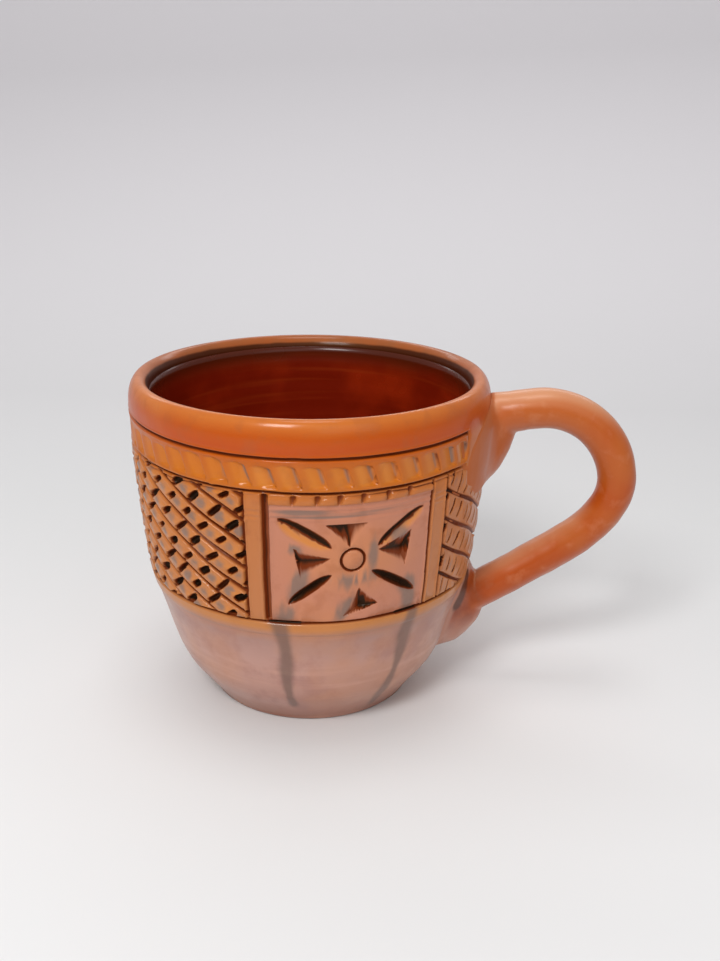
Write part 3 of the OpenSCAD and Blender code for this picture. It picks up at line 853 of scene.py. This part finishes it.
def keep(obj, name, values):
    """Stores a number on each point of a mesh."""
    layer = obj.data.attributes.new(name, "FLOAT", "POINT")
    layer.data.foreach_set("value", np.clip(values, 0, 1).astype(np.float32))


def runs_of_wash(angle, z):
    drip = np.zeros_like(z)
    for at, stray, end in DRIPS:
        middle = at + stray * (LEDGE_TOP - z) / 30 + 0.5 * np.sin(z / 3.7 + at)
        half = 1.6 + 0.9 * step_up(z, 14, LEDGE_TOP) + 0.4 * np.sin(z / 2.9 + 2 * at)
        off = (angle - middle) * MM_PER_DEGREE * wall_r(z) / MEAN_R
        run = np.exp(-(off / half) ** 2) * step_up(z, end - 2, end + 3) * (z < LEDGE_TOP + 0.5)
        drip = np.maximum(drip, run)
    return drip


points = coordinates(body) / MM
angle = np.degrees(np.arctan2(points[:, 1], points[:, 0]))
z = points[:, 2]
reach = np.hypot(points[:, 0], points[:, 1])
on_outside = reach > wall_r(z) - 3
wall_part = step_up(z, WALL_LOW, WALL_LOW + 0.3) * (1 - step_up(z, WALL_HIGH - 0.4, WALL_HIGH)) * on_outside
far = 0.5 - 0.5 * np.cos(np.radians(angle + LEAN_FROM))
marks = carve(angle, z)
body_masks = {
    "shade": marks.shade * wall_part,
    "lit": marks.lit * wall_part,
    "flute": marks.flute * wall_part / 0.9,
    "field": marks.field * wall_part,
    "wash": marks.wash * wall_part,
    "drip": runs_of_wash(angle, z) * on_outside,
    "brim": step_up(-reach - 0.6 * far, -LIP_R + 1.2, -LIP_R + 2.2) * (z > LIP_INSIDE - 8),
    "far_lip": step_up(far, 0.3, 0.75) * step_up(z, HEIGHT - 6, HEIGHT - 3.6)}
for name, values in body_masks.items():
    keep(body, name, values)
print("masks:", ", ".join(body_masks))

# %% [markdown]
# Inside, the mug has a thick dark glassy lining with the faint rings that the potter's fingers left. The
# rings could be a bump in the finish, but they show in the curved reflections, so they are turned with
# the profile.

# %% The inside glaze
GLAZE = 0.4
GLAZE_ROWS = 40
GLAZE_TURNS = 256
UNDER_GLAZE = 0.02


def ringed(profile):
    """Lets the side of a profile swell and sink a little, as throwing rings do."""
    result = []
    for r, z in profile:
        ring = 0.1 * math.sin(z * 1.55) + 0.06 * math.sin(z * 3.1 + 1)
        result.append((max(r - abs(ring) if r > 1 else r, 0), z))
    return result


outer = inside_profile(UNDER_GLAZE, GLAZE_ROWS)
inner = []
for r, z in ringed(inside_profile(GLAZE, GLAZE_ROWS)):
    thinner = (GLAZE - 0.06) * max(0, 1 - (LIP_INSIDE - z) / 6) if r > FOOT_R else 0
    inner.append((r + thinner, z))
glaze = turned("glassy_lining", inner + outer[::-1] + inner[:1], GLAZE_TURNS)
by_hand(glaze)
smooth_shaded(glaze)
report(glaze)

# %% [markdown]
# The handle is one pulled coil of clay. A torus cut in half would be too even: a coil hangs thin at its
# outer bend and stays full where it was pressed on. So its route is a path through its bends, seen from
# the side, and its thickness goes with the share of the path.

# %% The handle's route
COIL_ROUTE = (
    (45.3, 78.2), (54.6, 80.5), (62.3, 81.9), (69.9, 80.8), (76.1, 77.0), (80.3, 71.7), (82.6, 66.0),
    (83.1, 60.5), (81.8, 55.5), (79.1, 51.1), (75.6, 47.3), (71.5, 43.9), (66.4, 40.2), (60.1, 36.0),
    (53.5, 31.7), (46.3, 27.3), (33.5, 19.6))
COIL_ROWS = 8
COIL_EASING = 45
# Half thickness of the coil, by the share of its length
COIL_HALF = ((0, 5.5), (0.2, 5.35), (0.34, 5.3), (0.48, 5.0), (0.6, 5.15), (0.72, 5.2), (0.85, 5.2), (1, 5.2))
coil_path = np.array(smooth_curve(COIL_ROUTE, COIL_ROWS))
coil_lengths = np.concatenate(([0], np.cumsum(np.hypot(*np.diff(coil_path, axis=0).T))))
coil_share = coil_lengths / coil_lengths[-1]
coil_radius = np.interp(coil_share, *zip(*COIL_HALF))
for _ in range(COIL_EASING):
    coil_radius[1:-1] = (coil_radius[:-2] + 2 * coil_radius[1:-1] + coil_radius[2:]) / 4
    coil_path[1:-1] = (coil_path[:-2] + 2 * coil_path[1:-1] + coil_path[2:]) / 4
print("length of the coil:", round(coil_lengths[-1]), "mm")

# %% [markdown]
# A path with a bevel is swept into a round tube, as the hand draws the coil out. Its ends are cut with a
# solid of the plain mug, so that they are seated face to face on the wall and nothing is left inside it.

# %% Sweep the coil and seat it
COIL_SIDES = 32
COIL_WOBBLE = 0.07


def tube(name, points, radii):
    """A round tube along points of radius and height, in the plane of the handle."""
    bpy.ops.object.select_all(action="DESELECT")
    bpy.ops.curve.primitive_nurbs_path_add()
    obj = bpy.context.object
    obj.name = name
    curve = obj.data
    curve.splines.clear()
    spline = curve.splines.new("POLY")
    spline.points.add(len(points) - 1)
    for point, (r, z), radius in zip(spline.points, points, radii):
        point.co = (r * MM, 0, z * MM, 1)
        point.radius = radius
    curve.dimensions = "3D"
    curve.twist_mode = "MINIMUM"
    curve.bevel_depth = MM
    curve.bevel_resolution = COIL_SIDES // 4
    curve.use_fill_caps = True
    bpy.ops.object.convert(target="MESH")
    obj = bpy.context.object
    merged(obj)
    return obj


def hand_wobble(obj, size):
    """Moves the surface in and out a little, as a pulled coil has it."""
    points = coordinates(obj) / MM
    off = np.zeros(len(points))
    for k, waves in enumerate(((0.11, 0.3, 0.07), (0.23, 0.17, 0.19), (0.41, 0.5, 0.37))):
        off += np.sin(points @ np.array(waves) * 2 + k * 2.1) / (k + 1)
    normals = np.array([tuple(v.normal) for v in obj.data.vertices])
    place(obj, (points + normals * (off * size)[:, None]) * MM)


filled_profile = low_profile[:-1]
filled_profile += [(float(swell(height)), height) for height in np.linspace(LEDGE_TOP, WIDEST, 20)]
filled_profile += lip_profile[1:11] + [(0, HEIGHT)]
filled = turned("filled_mug", filled_profile, TURNS)
handle = tube("pulled_handle", coil_path, coil_radius)
hand_wobble(handle, COIL_WOBBLE)
applied(handle, "BOOLEAN", operation="DIFFERENCE", solver="EXACT", object=filled)
smooth_shaded(handle)
report(handle)

# %% [markdown]
# Clay was pressed round both ends of the coil and smeared on the wall until the joint was smooth.
# Sculpting it by hand can't be rerun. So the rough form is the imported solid, an end of the coil and a
# piece of wall together. A remesh makes them one skin, and smoothing where wall and coil meet rounds the
# corner as a thumb.

# %% The parts of a joint
def copy_of(node_name):
    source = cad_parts[node_name]
    bpy.ops.object.select_all(action="DESELECT")
    obj = bpy.data.objects.new(node_name + "_copy", source.data.copy())
    bpy.context.scene.collection.objects.link(obj)
    obj.matrix_world = source.matrix_world.copy()
    only(obj)
    bpy.ops.object.transform_apply(location=True, rotation=True, scale=True)
    merged(obj, outward=False)
    return obj


def wall_piece(low, high, half_angle):
    """A thick piece of the plain wall round angle zero."""
    bpy.ops.object.select_all(action="DESELECT")
    bpy.ops.mesh.primitive_grid_add(x_subdivisions=90, y_subdivisions=90, size=1)
    obj = bpy.context.object
    sheet = coordinates(obj)
    z = low + (sheet[:, 1] + 0.5) * (high - low)
    place(obj, wrapped(wall_r(z) + 0.02, np.radians(sheet[:, 0] * 2 * half_angle), z))
    applied(obj, "SOLIDIFY", thickness=3 * MM, offset=-1)
    merged(obj)
    return obj


def from_coil(points):
    """Distance of points from the middle line of the coil, and how far along it they are."""
    best = np.full(len(points), np.inf)
    along = np.zeros(len(points))
    for (r, z), length in zip(coil_path, coil_lengths):
        distance = np.sqrt((points[:, 0] - r) ** 2 + points[:, 1] ** 2 + (points[:, 2] - z) ** 2)
        nearer = distance < best
        best = np.where(nearer, distance, best)
        along = np.where(nearer, length, along)
    return best, along


def heights_over(points):
    """How far points stand over the wall and over the coil, and how far along the coil they are."""
    over_wall = np.hypot(points[:, 0], points[:, 1]) - wall_r(points[:, 2])
    from_middle, along = from_coil(points)
    return over_wall, from_middle - np.interp(along, coil_lengths, coil_radius), along


print("the coil is", round(2 * coil_radius.min(), 1), "to", round(2 * coil_radius.max(), 1), "mm thick")

# %% Press the clay on
SKIN_VOXEL = 0.42 * MM
THUMB_ROUNDS = 60
EASE_ROUNDS = 6
STUB_OVER = 0.12
STUB_THIN = 0.5


def stub(from_end, length, thin_from, thin_to):
    """The first or last part of the coil, a little thicker, and thinner again where the clay feathers out."""
    near = from_end < length
    thinned = STUB_THIN * step_up(from_end[near], thin_from, thin_to)
    return coil_path[near], coil_radius[near] + STUB_OVER - thinned


def pressed_clay(name, node_name, stub_path, low, high, half_angle):
    """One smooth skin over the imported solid, an end of the coil and the wall under them."""
    clay = copy_of(node_name)
    joined((clay, tube("stub", *stub_path), wall_piece(low, high, half_angle)), clay)
    clay.name = name
    applied(clay, "REMESH", mode="VOXEL", voxel_size=SKIN_VOXEL)
    over_wall, over_coil, along = heights_over(coordinates(clay) / MM)
    corner = np.exp(-(np.maximum(over_wall, 0) / 4.5) ** 2) * np.exp(-(np.maximum(over_coil, 0) / 5) ** 2)
    group = clay.vertex_groups.new(name="corner")
    for k, weight in enumerate(corner):
        group.add([k], float(weight), "REPLACE")
    applied(clay, "SMOOTH", vertex_group=group.name, factor=0.5, iterations=THUMB_ROUNDS)
    applied(clay, "SMOOTH", factor=0.5, iterations=EASE_ROUNDS)
    clay.vertex_groups.clear()
    return clay


upper_stub = stub(coil_lengths, 19, 11, 17)
upper_clay = pressed_clay("upper_joint", "upper_luting", upper_stub, 57.5, 85.5, 34)
lower_stub = stub(coil_lengths[-1] - coil_lengths, 24, 15, 22)
lower_clay = pressed_clay("lower_joint", "lower_luting", lower_stub, 6.5, 38, 24)
report(upper_clay)
report(lower_clay)

# %% [markdown]
# Smeared clay has no rim: it feathers out on the wall. A Shrinkwrap would press all of it flat, so only
# its edges are drawn in, more the further they lie from the middle of the joint. Then the masks are kept,
# as they were for the body: where the clay is smeared, where glaze ran together and shade is painted in
# the crease, and which way its surface faces, for a painted highlight along its top.

# %% Sink the edges of the pressed clay
# Glaze pooling and painted shade in the crease of coil and wall: from a place across and up to another, in
# millimetres
CREASE = ((-5.0, 38.0), (-9.6, 27.5))


def sink_edges(clay, middle_z, half_z, half_y):
    """Takes the edges of the clay just under the wall, so that it feathers out on it."""
    points = coordinates(clay) / MM
    radius = np.hypot(points[:, 0], points[:, 1])
    over_wall = radius - wall_r(points[:, 2])
    spread = (points[:, 1] / half_y) ** 2 + ((points[:, 2] - middle_z) / half_z) ** 2
    near = 1 - step_up(over_wall, 2, 5)
    drawn_in = 0.7 * np.maximum(over_wall, 0) * step_up(spread, 0.35, 1.1) + 0.9 * step_up(spread, 0.8, 1.15)
    shrink = 1 - near * drawn_in / radius
    points[:, 0] *= shrink
    points[:, 1] *= shrink
    place(clay, points * MM)


def keep_clay_masks(clay, smeared):
    points = coordinates(clay) / MM
    over_wall, _, along = heights_over(points)
    slope = np.array([v.normal[2] for v in clay.data.vertices])
    # The crease where coil and wall meet holds dark glaze and painted shade
    crease, t = stroke(points[:, 1], points[:, 2], *CREASE)
    crease = 1.3 * np.exp(-(crease / (0.9 + 0.9 * t)) ** 2)
    keep(clay, "smear", (1 - step_up(over_wall, 0.2, 1.8)) * smeared)
    keep(clay, "crease", crease * (points[:, 1] < 0) * (1 - step_up(over_wall, 3.5, 5.5)))
    keep(clay, "root", step_up(along / coil_lengths[-1], 0.66, 0.97))
    keep(clay, "under", step_up(-slope, 0.1, 0.95))
    # 'top' holds a painted highlight on faces that look up
    keep(clay, "top", step_up(slope, 0.35, 0.95))


sink_edges(upper_clay, 71.5, 13.2, 24)
sink_edges(lower_clay, 25.2, 12.6, 13.5)
for clay in (upper_clay, lower_clay, handle):
    smooth_shaded(clay)
    keep_clay_masks(clay, clay is not handle)
bpy.data.objects.remove(filled)
print("masks on the clay:", ", ".join(a.name for a in handle.data.attributes if a.data_type == "FLOAT"))

# %% [markdown]
# Nodes could be added one by one with their links, but a finish then takes a page. Shader maths reads
# best as plain expressions. A small class wraps a socket, so that a * b adds a Math node, and one method
# makes any other node from its type, its settings and the values of its sockets.

# %% Shader helpers: numbers that vary
class Value:
    """A number that varies over the surface."""

    def __init__(self, socket):
        self.socket = socket

    def math(self, operation, *others, flipped=False):
        tree = self.socket.id_data
        made = tree.nodes.new("ShaderNodeMath")
        made.operation = operation
        items = (*others, self) if flipped else (self, *others)
        for slot, item in zip(made.inputs, items):
            plug(item, slot)
        return Value(made.outputs[0])

    def __add__(self, other):
        return self.math("ADD", other)

    __radd__ = __add__

    def __mul__(self, other):
        return self.math("MULTIPLY", other)

    __rmul__ = __mul__

    def __sub__(self, other):
        return self.math("SUBTRACT", other)

    def __rsub__(self, other):
        return self.math("SUBTRACT", other, flipped=True)

    def between(self, low, high):
        """0 below low, 1 above high, smooth in between."""
        tree = self.socket.id_data
        made = tree.nodes.new("ShaderNodeMapRange")
        made.interpolation_type = "SMOOTHSTEP"
        plug(self, made.inputs["Value"])
        made.inputs["From Min"].default_value = low
        made.inputs["From Max"].default_value = high
        return Value(made.outputs[0])


def plug(item, slot):
    """Links a value to a socket, or sets a plain number or colour on it."""
    if isinstance(item, Value):
        slot.id_data.links.new(item.socket, slot)
    else:
        slot.default_value = item


def colour(red, green, blue):
    """A colour as seen on screen, from 0 to 255, as the linear colour that a socket takes."""
    channels = []
    for part in (red, green, blue):
        part = part / 255
        channels.append(part / 12.92 if part <= 0.04045 else ((part + 0.055) / 1.055) ** 2.4)
    return (*channels, 1)


print("shader maths ready")

# %% Shader helpers: a finish
class Finish:
    """A material with a Principled shader, built node by node."""

    def __init__(self, name):
        self.material = bpy.data.materials.new(name)
        self.material.use_nodes = True
        self.tree = self.material.node_tree
        self.shader = self.tree.nodes["Principled BSDF"]
        self.position = self.node("ShaderNodeTexCoord", output="Object")

    def node(self, kind, output=0, settings=None, **sockets):
        made = self.tree.nodes.new(kind)
        for name, setting in (settings or {}).items():
            setattr(made, name, setting)
        for name, item in sockets.items():
            plug(item, made.inputs[name.replace("_", " ")])
        return Value(made.outputs[output])

    def part(self, axis):
        """One coordinate of the place on the object, in millimetres."""
        return self.node("ShaderNodeSeparateXYZ", output=axis, Vector=self.position) * (1 / MM)

    def mask(self, name):
        return self.node("ShaderNodeAttribute", output="Fac", settings={"attribute_name": name})

    def noise(self, size, detail=3, roughness=0.5, stretch=(1, 1, 1)):
        """Cloudy variation whose patches are about a size in millimetres."""
        scaled = self.node("ShaderNodeMapping", Vector=self.position, Scale=stretch)
        return self.node("ShaderNodeTexNoise", Vector=scaled, Scale=1 / (size * MM), Detail=detail,
                         Roughness=roughness)

    def mixed(self, first, second, share):
        """Goes from the first colour to the second as share goes from 0 to 1."""
        made = self.tree.nodes.new("ShaderNodeMix")
        made.data_type = "RGBA"
        plug(share, made.inputs[0])
        plug(first, made.inputs[6])
        plug(second, made.inputs[7])
        return Value(made.outputs[2])

    def layered(self, shade, layers):
        """Lays colours over each other. Each layer is a colour and how much of it shows."""
        for tint, share in layers:
            shade = self.mixed(shade, tint, share)
        return shade

    def ramp(self, value, stops):
        made = self.tree.nodes.new("ShaderNodeValToRGB")
        plug(value, made.inputs[0])
        elements = made.color_ramp.elements
        while len(elements) < len(stops):
            elements.new(0.5)
        for element, (at, shade) in zip(elements, stops):
            element.position = at
            element.color = shade
        return Value(made.outputs[0])

    def bump(self, height, strength, distance):
        return self.node("ShaderNodeBump", Height=height, Strength=strength, Distance=distance * MM)

    def surface(self, **sockets):
        for name, item in sockets.items():
            plug(item, self.shader.inputs[name.replace("_", " ")])
        return self.material


print("shader helpers ready")

# %% [markdown]
# Jarrito clay fires orange brown. Burnished slip and a clear lead-free glaze make it shine, and the glaze
# lies dark in the cuts, with painted shade on their sides turned from the light. The bowl kept a pinkish
# bloom with runs of grey wash under the ledge, and it is painted darker just under the ledge and at the
# foot, as shade. One noise for all would look like marble, so the height sets the main colours, as the
# dipping did, and the masks the rest.

# %% The glazed terracotta of the body
GLAZE_GLINT = 0.25
AMBER_GLINT = colour(255, 196, 130)
DARK_RIM = colour(70, 26, 6)
terracotta = Finish("glazed_terracotta")
height = terracotta.part("Z")
cloud = terracotta.noise(24)
mottle = terracotta.noise(5, detail=4)
fine = terracotta.noise(1.6, detail=3)
grain = terracotta.noise(0.7, detail=4, roughness=0.6)
bloom = terracotta.noise(11, detail=4, roughness=0.6)
streaks = terracotta.noise(7, detail=3, stretch=(0.14, 0.14, 2.2))
on_bowl = 1 - height.between(30, 37)
on_wall = height.between(34, 40)
wash = terracotta.mask("wash") * (0.6 + 0.8 * mottle)
drip = terracotta.mask("drip") * (0.6 + 0.8 * mottle)
cut = terracotta.mask("shade")
brim = terracotta.mask("brim") + 0.3 * (mottle - 0.5)
# Colours by the share of the mug's height: bowl, ledge, carved wall, band, collar and lip
clay_with_painted_light = terracotta.ramp((height + 3 * (cloud - 0.5)) * (1 / HEIGHT), [
    # Darker at the foot: painted shade
    (0.0, colour(150, 96, 76)),
    (0.08, colour(182, 136, 122)),
    (0.26, colour(190, 146, 134)),
    # Darker just under the ledge: painted shade
    (0.345, colour(172, 132, 122)),
    (0.38, colour(180, 124, 94)),
    # Lighter on the round ledge: orange glaze and a painted highlight
    (0.4, colour(196, 126, 66)),
    (0.44, colour(188, 118, 72)),
    (0.78, colour(188, 112, 60)),
    (0.83, colour(190, 100, 20)),
    (0.895, colour(190, 92, 12)),
    (0.93, colour(184, 70, 0)),
    (0.965, colour(186, 78, 4)),
    (1.0, colour(196, 106, 40))])
shade = terracotta.layered(clay_with_painted_light, (
    # Pinkish clay round a flower, amber glaze in the scoops, and painted highlights on lit facets and raised
    # clay
    (colour(192, 126, 102), terracotta.mask("field") * 0.9),
    (colour(204, 114, 24), terracotta.mask("flute").between(0.1, 0.5) * 0.7),
    (colour(214, 132, 54), terracotta.mask("lit") * 0.85),
    # Pale clouds everywhere, then bloom, warm patches and turning streaks on the bowl
    (colour(214, 136, 74), cloud.between(0.5, 0.72) * 0.25),
    (colour(158, 108, 100), bloom.between(0.42, 0.62) * on_bowl * 0.5),
    (colour(196, 138, 104), cloud.between(0.45, 0.6) * on_bowl * 0.3),
    (colour(206, 158, 140), streaks.between(0.5, 0.75) * on_bowl * 0.5),
    (colour(158, 84, 44), mottle.between(0.5, 0.7) * (0.06 + 0.2 * on_wall)),
    # Grey wash in the hollows and its runs down the bowl
    (colour(128, 106, 96), wash.between(0.12, 0.85) * 0.85),
    (colour(112, 88, 80), drip.between(0.12, 0.9) * 0.75),
    # Glaze in the cuts and painted shade on their sides turned from the light: brown, then nearly black where
    # deep
    (colour(112, 42, 10), cut.between(0.1, 0.5)),
    (colour(34, 16, 8), cut.between(0.55, 0.95)),
    # The far side of the lip, and the dark ring where the lining's glaze came over the brim
    (colour(150, 84, 44), terracotta.mask("far_lip") * (0.5 + 0.6 * mottle)),
    (DARK_RIM, brim.between(0.1, 0.7))))
terracotta.surface(
    Base_Color=shade,
    Roughness=0.34 + 0.22 * mottle + 0.2 * cut,
    Specular_IOR_Level=GLAZE_GLINT,
    Specular_Tint=AMBER_GLINT,
    Coat_Weight=0.45 * (1 - cut.between(0.1, 0.6) * 0.8) * (1 - brim.between(0.1, 0.7) * 0.7),
    Coat_Roughness=0.16,
    Normal=terracotta.bump(grain + mottle * 1.5 + fine * 0.6, 0.25, 0.12))
print("terracotta has", len(terracotta.tree.nodes), "nodes")

# %% [markdown]
# The handle is the same clay, but it was pulled with wet hands and never carved. Its glaze is deep orange
# where it lies thick and darker towards its root; it is pinkish underneath, with a painted highlight along
# the top. The pressed clay takes the same finish with paler colours, so one function makes both.

# %% The clay of the handle and of its joints
def pulled_clay(name, warm, deep, pale):
    """Smooth glazed clay, deep orange where the glaze lies thick and pinkish where it is thin."""
    clay = Finish(name)
    cloud = clay.noise(16)
    mottle = clay.noise(4, detail=4)
    grain = clay.noise(0.7, detail=4, roughness=0.6)
    height = clay.part("Z")
    under = clay.mask("under")
    root = clay.mask("root") * (1 - under)
    smear = (clay.mask("smear") + 0.4 * (mottle - 0.5)).between(0.1, 0.9)
    on_bowl = 1 - (height + 6 * (cloud - 0.5)).between(14, 25)
    thinned = clay.mixed(pale, colour(186, 100, 52), height.between(34, 50))
    shade = clay.layered(warm, (
        # Thick glaze in clouds, thin pale glaze in spots, a painted highlight along the top, paler pink
        # underneath
        (deep, (cloud + 0.25 * (1 - height.between(30, 70))).between(0.45, 0.75) * 0.8),
        (colour(204, 132, 92), mottle.between(0.52, 0.75) * 0.3),
        (colour(226, 170, 130), clay.mask("top") * 0.6),
        (colour(192, 138, 116), under * 0.42),
        # Burnt mottling at the root of the coil, then the clay smeared over wall and bowl
        (colour(128, 42, 4), (root * (0.2 + 1.2 * mottle)).between(0.25, 0.95) * 0.8),
        (thinned, smear * 0.85),
        (pale, on_bowl * 0.85),
        # Dark glaze and painted shade in the crease where coil and wall meet
        (colour(66, 24, 8), (clay.mask("crease") * (0.5 + mottle)).between(0.15, 0.9) * 0.85)))
    return clay.surface(
        Base_Color=shade,
        Roughness=0.32 + 0.22 * mottle + 0.15 * smear,
        Specular_IOR_Level=GLAZE_GLINT,
        Specular_Tint=AMBER_GLINT,
        Sheen_Weight=0.05,
        Sheen_Roughness=0.4,
        Coat_Weight=0.5 * (1 - smear * 0.8),
        Coat_Roughness=0.26,
        Normal=clay.bump(grain + mottle * 1.5, 0.22, 0.12))


handle_clay = pulled_clay("handle_clay", colour(182, 90, 34), colour(174, 68, 6), colour(190, 132, 112))
luting_clay = pulled_clay("luting_clay", colour(182, 92, 42), colour(174, 74, 14), colour(188, 138, 120))
print("clay finishes:", handle_clay.name, "and", luting_clay.name)

# %% [markdown]
# The lining is a thick red brown glass. Real glass over clay could be a transparent shader, but nothing
# shows through it here, so a dark colour under a smooth coat gives the same look. Faint rings follow the
# turning, and under the lip it goes brown and dull, where the glaze drew thin.

# %% The dark glassy lining
LINING_TOP = (78, 85)
lining = Finish("inside_glaze")
cloud = lining.noise(20)
rings = lining.noise(6, detail=2, stretch=(0.12, 0.12, 2.5))
near_lip = (lining.part("Z") + 7 * (cloud - 0.5)).between(*LINING_TOP)
shade = lining.layered(colour(118, 24, 4), (
    (colour(150, 38, 6), cloud.between(0.4, 0.7)),
    (colour(160, 60, 20), rings.between(0.52, 0.75) * 0.3),
    (DARK_RIM, near_lip * 0.9)))
lining.surface(
    Base_Color=shade,
    Roughness=0.2 + 0.12 * cloud,
    Specular_IOR_Level=GLAZE_GLINT,
    Coat_Weight=0.45 - 0.35 * near_lip,
    Coat_Roughness=0.1,
    Normal=lining.bump(rings, 0.12, 0.2))
print("finishes:", ", ".join(m.name for m in bpy.data.materials))

# %% [markdown]
# Each piece rides on the mug's one body, stands for its imported node and takes its finish, which the table
# names.

# %% Hand the pieces over
PIECES = (
    (body, "body", "glazed_terracotta", terracotta.material),
    (glaze, "inside_glaze", "inside_glaze", lining.material),
    (handle, "handle", "handle_clay", handle_clay),
    (upper_clay, "upper_luting", "luting_clay", luting_clay),
    (lower_clay, "lower_luting", "luting_clay", luting_clay))
for piece, node, slot, material in PIECES:
    piece.data.materials.clear()
    piece.data.materials.append(material)
    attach(piece, "root")
    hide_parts(node)
    report(piece)

# %% [markdown]
# The mug stands on pale seamless paper, as in a studio. A plain floor would end in a line behind it, so
# the paper is a plane whose far edge is spun up through a quarter turn and drawn on upwards. Its colour
# paints the fall of the light: a little darker behind the mug and light again above.

# %% The paper
PAPER_FRONT = -1.5
PAPER_BEND = 0.35
PAPER_RISE = 1.6
PAPER_HALF = 3.0
BEND_R = 0.6
BEND_STEPS = 24
PAPER_GAP = 0.01 * MM
# Where the colours along the paper start, in front of the mug's middle, and how far they reach, in mm
TINTS_FROM = 80
TINTS_REACH = 1000
bpy.ops.object.select_all(action="DESELECT")
bpy.ops.mesh.primitive_plane_add(size=1)
paper = bpy.context.object
paper.name = "paper_sweep"
place(paper, [(-PAPER_HALF, PAPER_FRONT, 0), (PAPER_HALF, PAPER_FRONT, 0),
              (-PAPER_HALF, PAPER_BEND, 0), (PAPER_HALF, PAPER_BEND, 0)])
bpy.ops.object.mode_set(mode="EDIT")
bpy.ops.mesh.select_mode(type="EDGE")
bpy.ops.mesh.select_all(action="DESELECT")
bpy.ops.object.mode_set(mode="OBJECT")
for edge in paper.data.edges:
    edge.select = min(edge.vertices) > 1
bpy.ops.object.mode_set(mode="EDIT")
bpy.ops.mesh.spin(steps=BEND_STEPS, angle=math.radians(90), center=(0, PAPER_BEND, BEND_R), axis=(-1, 0, 0))
bpy.ops.mesh.extrude_region_move(TRANSFORM_OT_translate={"value": (0, 0, PAPER_RISE)})
bpy.ops.mesh.select_all(action="SELECT")
bpy.ops.mesh.remove_doubles(threshold=PAPER_GAP)
bpy.ops.object.mode_set(mode="OBJECT")
smooth_shaded(paper)
paper_finish = Finish("pale_paper")
# A painted fall of light: lighter in front, darker behind the mug, light again above
tint = paper_finish.ramp((paper_finish.part("Y") + TINTS_FROM) * (1 / TINTS_REACH), [
    (0.0, colour(231, 231, 231)),
    (0.2, colour(218, 218, 218)),
    (0.34, colour(212, 211, 212)),
    (1.0, colour(240, 236, 240))])
paper.data.materials.append(paper_finish.surface(Base_Color=tint, Roughness=0.9))
report(paper)

# %% [markdown]
# A pale sky alone would light the mug flat. A small key lamp in front, above and a little to the left
# draws the short glints on the lip and throws the soft shadow back to the right. A wide weak one fills
# from the right, one over the mug lights the floor and the lip, and a long low one behind draws streaks
# on the handle and the rim.

# %% Lamps and sky
MIDDLE = Vector((0, 0, 0.05))
# Each lamp: name, place, width, height in metres, and power in watts
LAMPS = (
    ("key_lamp", (-0.16, -0.55, 0.6), 0.22, 0.22, 3.2),
    ("fill_lamp", (0.35, -0.65, 0.45), 0.5, 0.5, 0.5),
    ("top_lamp", (0.0, -0.02, 1.1), 0.34, 0.34, 2.0),
    ("back_lamp", (-0.05, 0.5, 0.44), 1.0, 0.09, 1.1))
SKY = colour(240, 240, 240)
SKY_LIGHT = 0.5


def soft_lamp(name, at, wide, tall, power):
    """A soft lamp that faces the middle of the mug."""
    bpy.ops.object.light_add(type="AREA", location=at)
    lamp = bpy.context.object
    lamp.name = name
    lamp.data.shape = "RECTANGLE"
    lamp.data.size = wide
    lamp.data.size_y = tall
    lamp.data.energy = power
    lamp.rotation_euler = (MIDDLE - Vector(at)).to_track_quat("-Z", "Y").to_euler()


for lamp_values in LAMPS:
    soft_lamp(*lamp_values)
world = bpy.data.worlds.new("pale_sky")
bpy.context.scene.world = world
world.use_nodes = True
sky = world.node_tree.nodes["Background"]
sky.inputs["Color"].default_value = SKY
sky.inputs["Strength"].default_value = SKY_LIGHT
bpy.context.scene.view_settings.view_transform = "Standard"
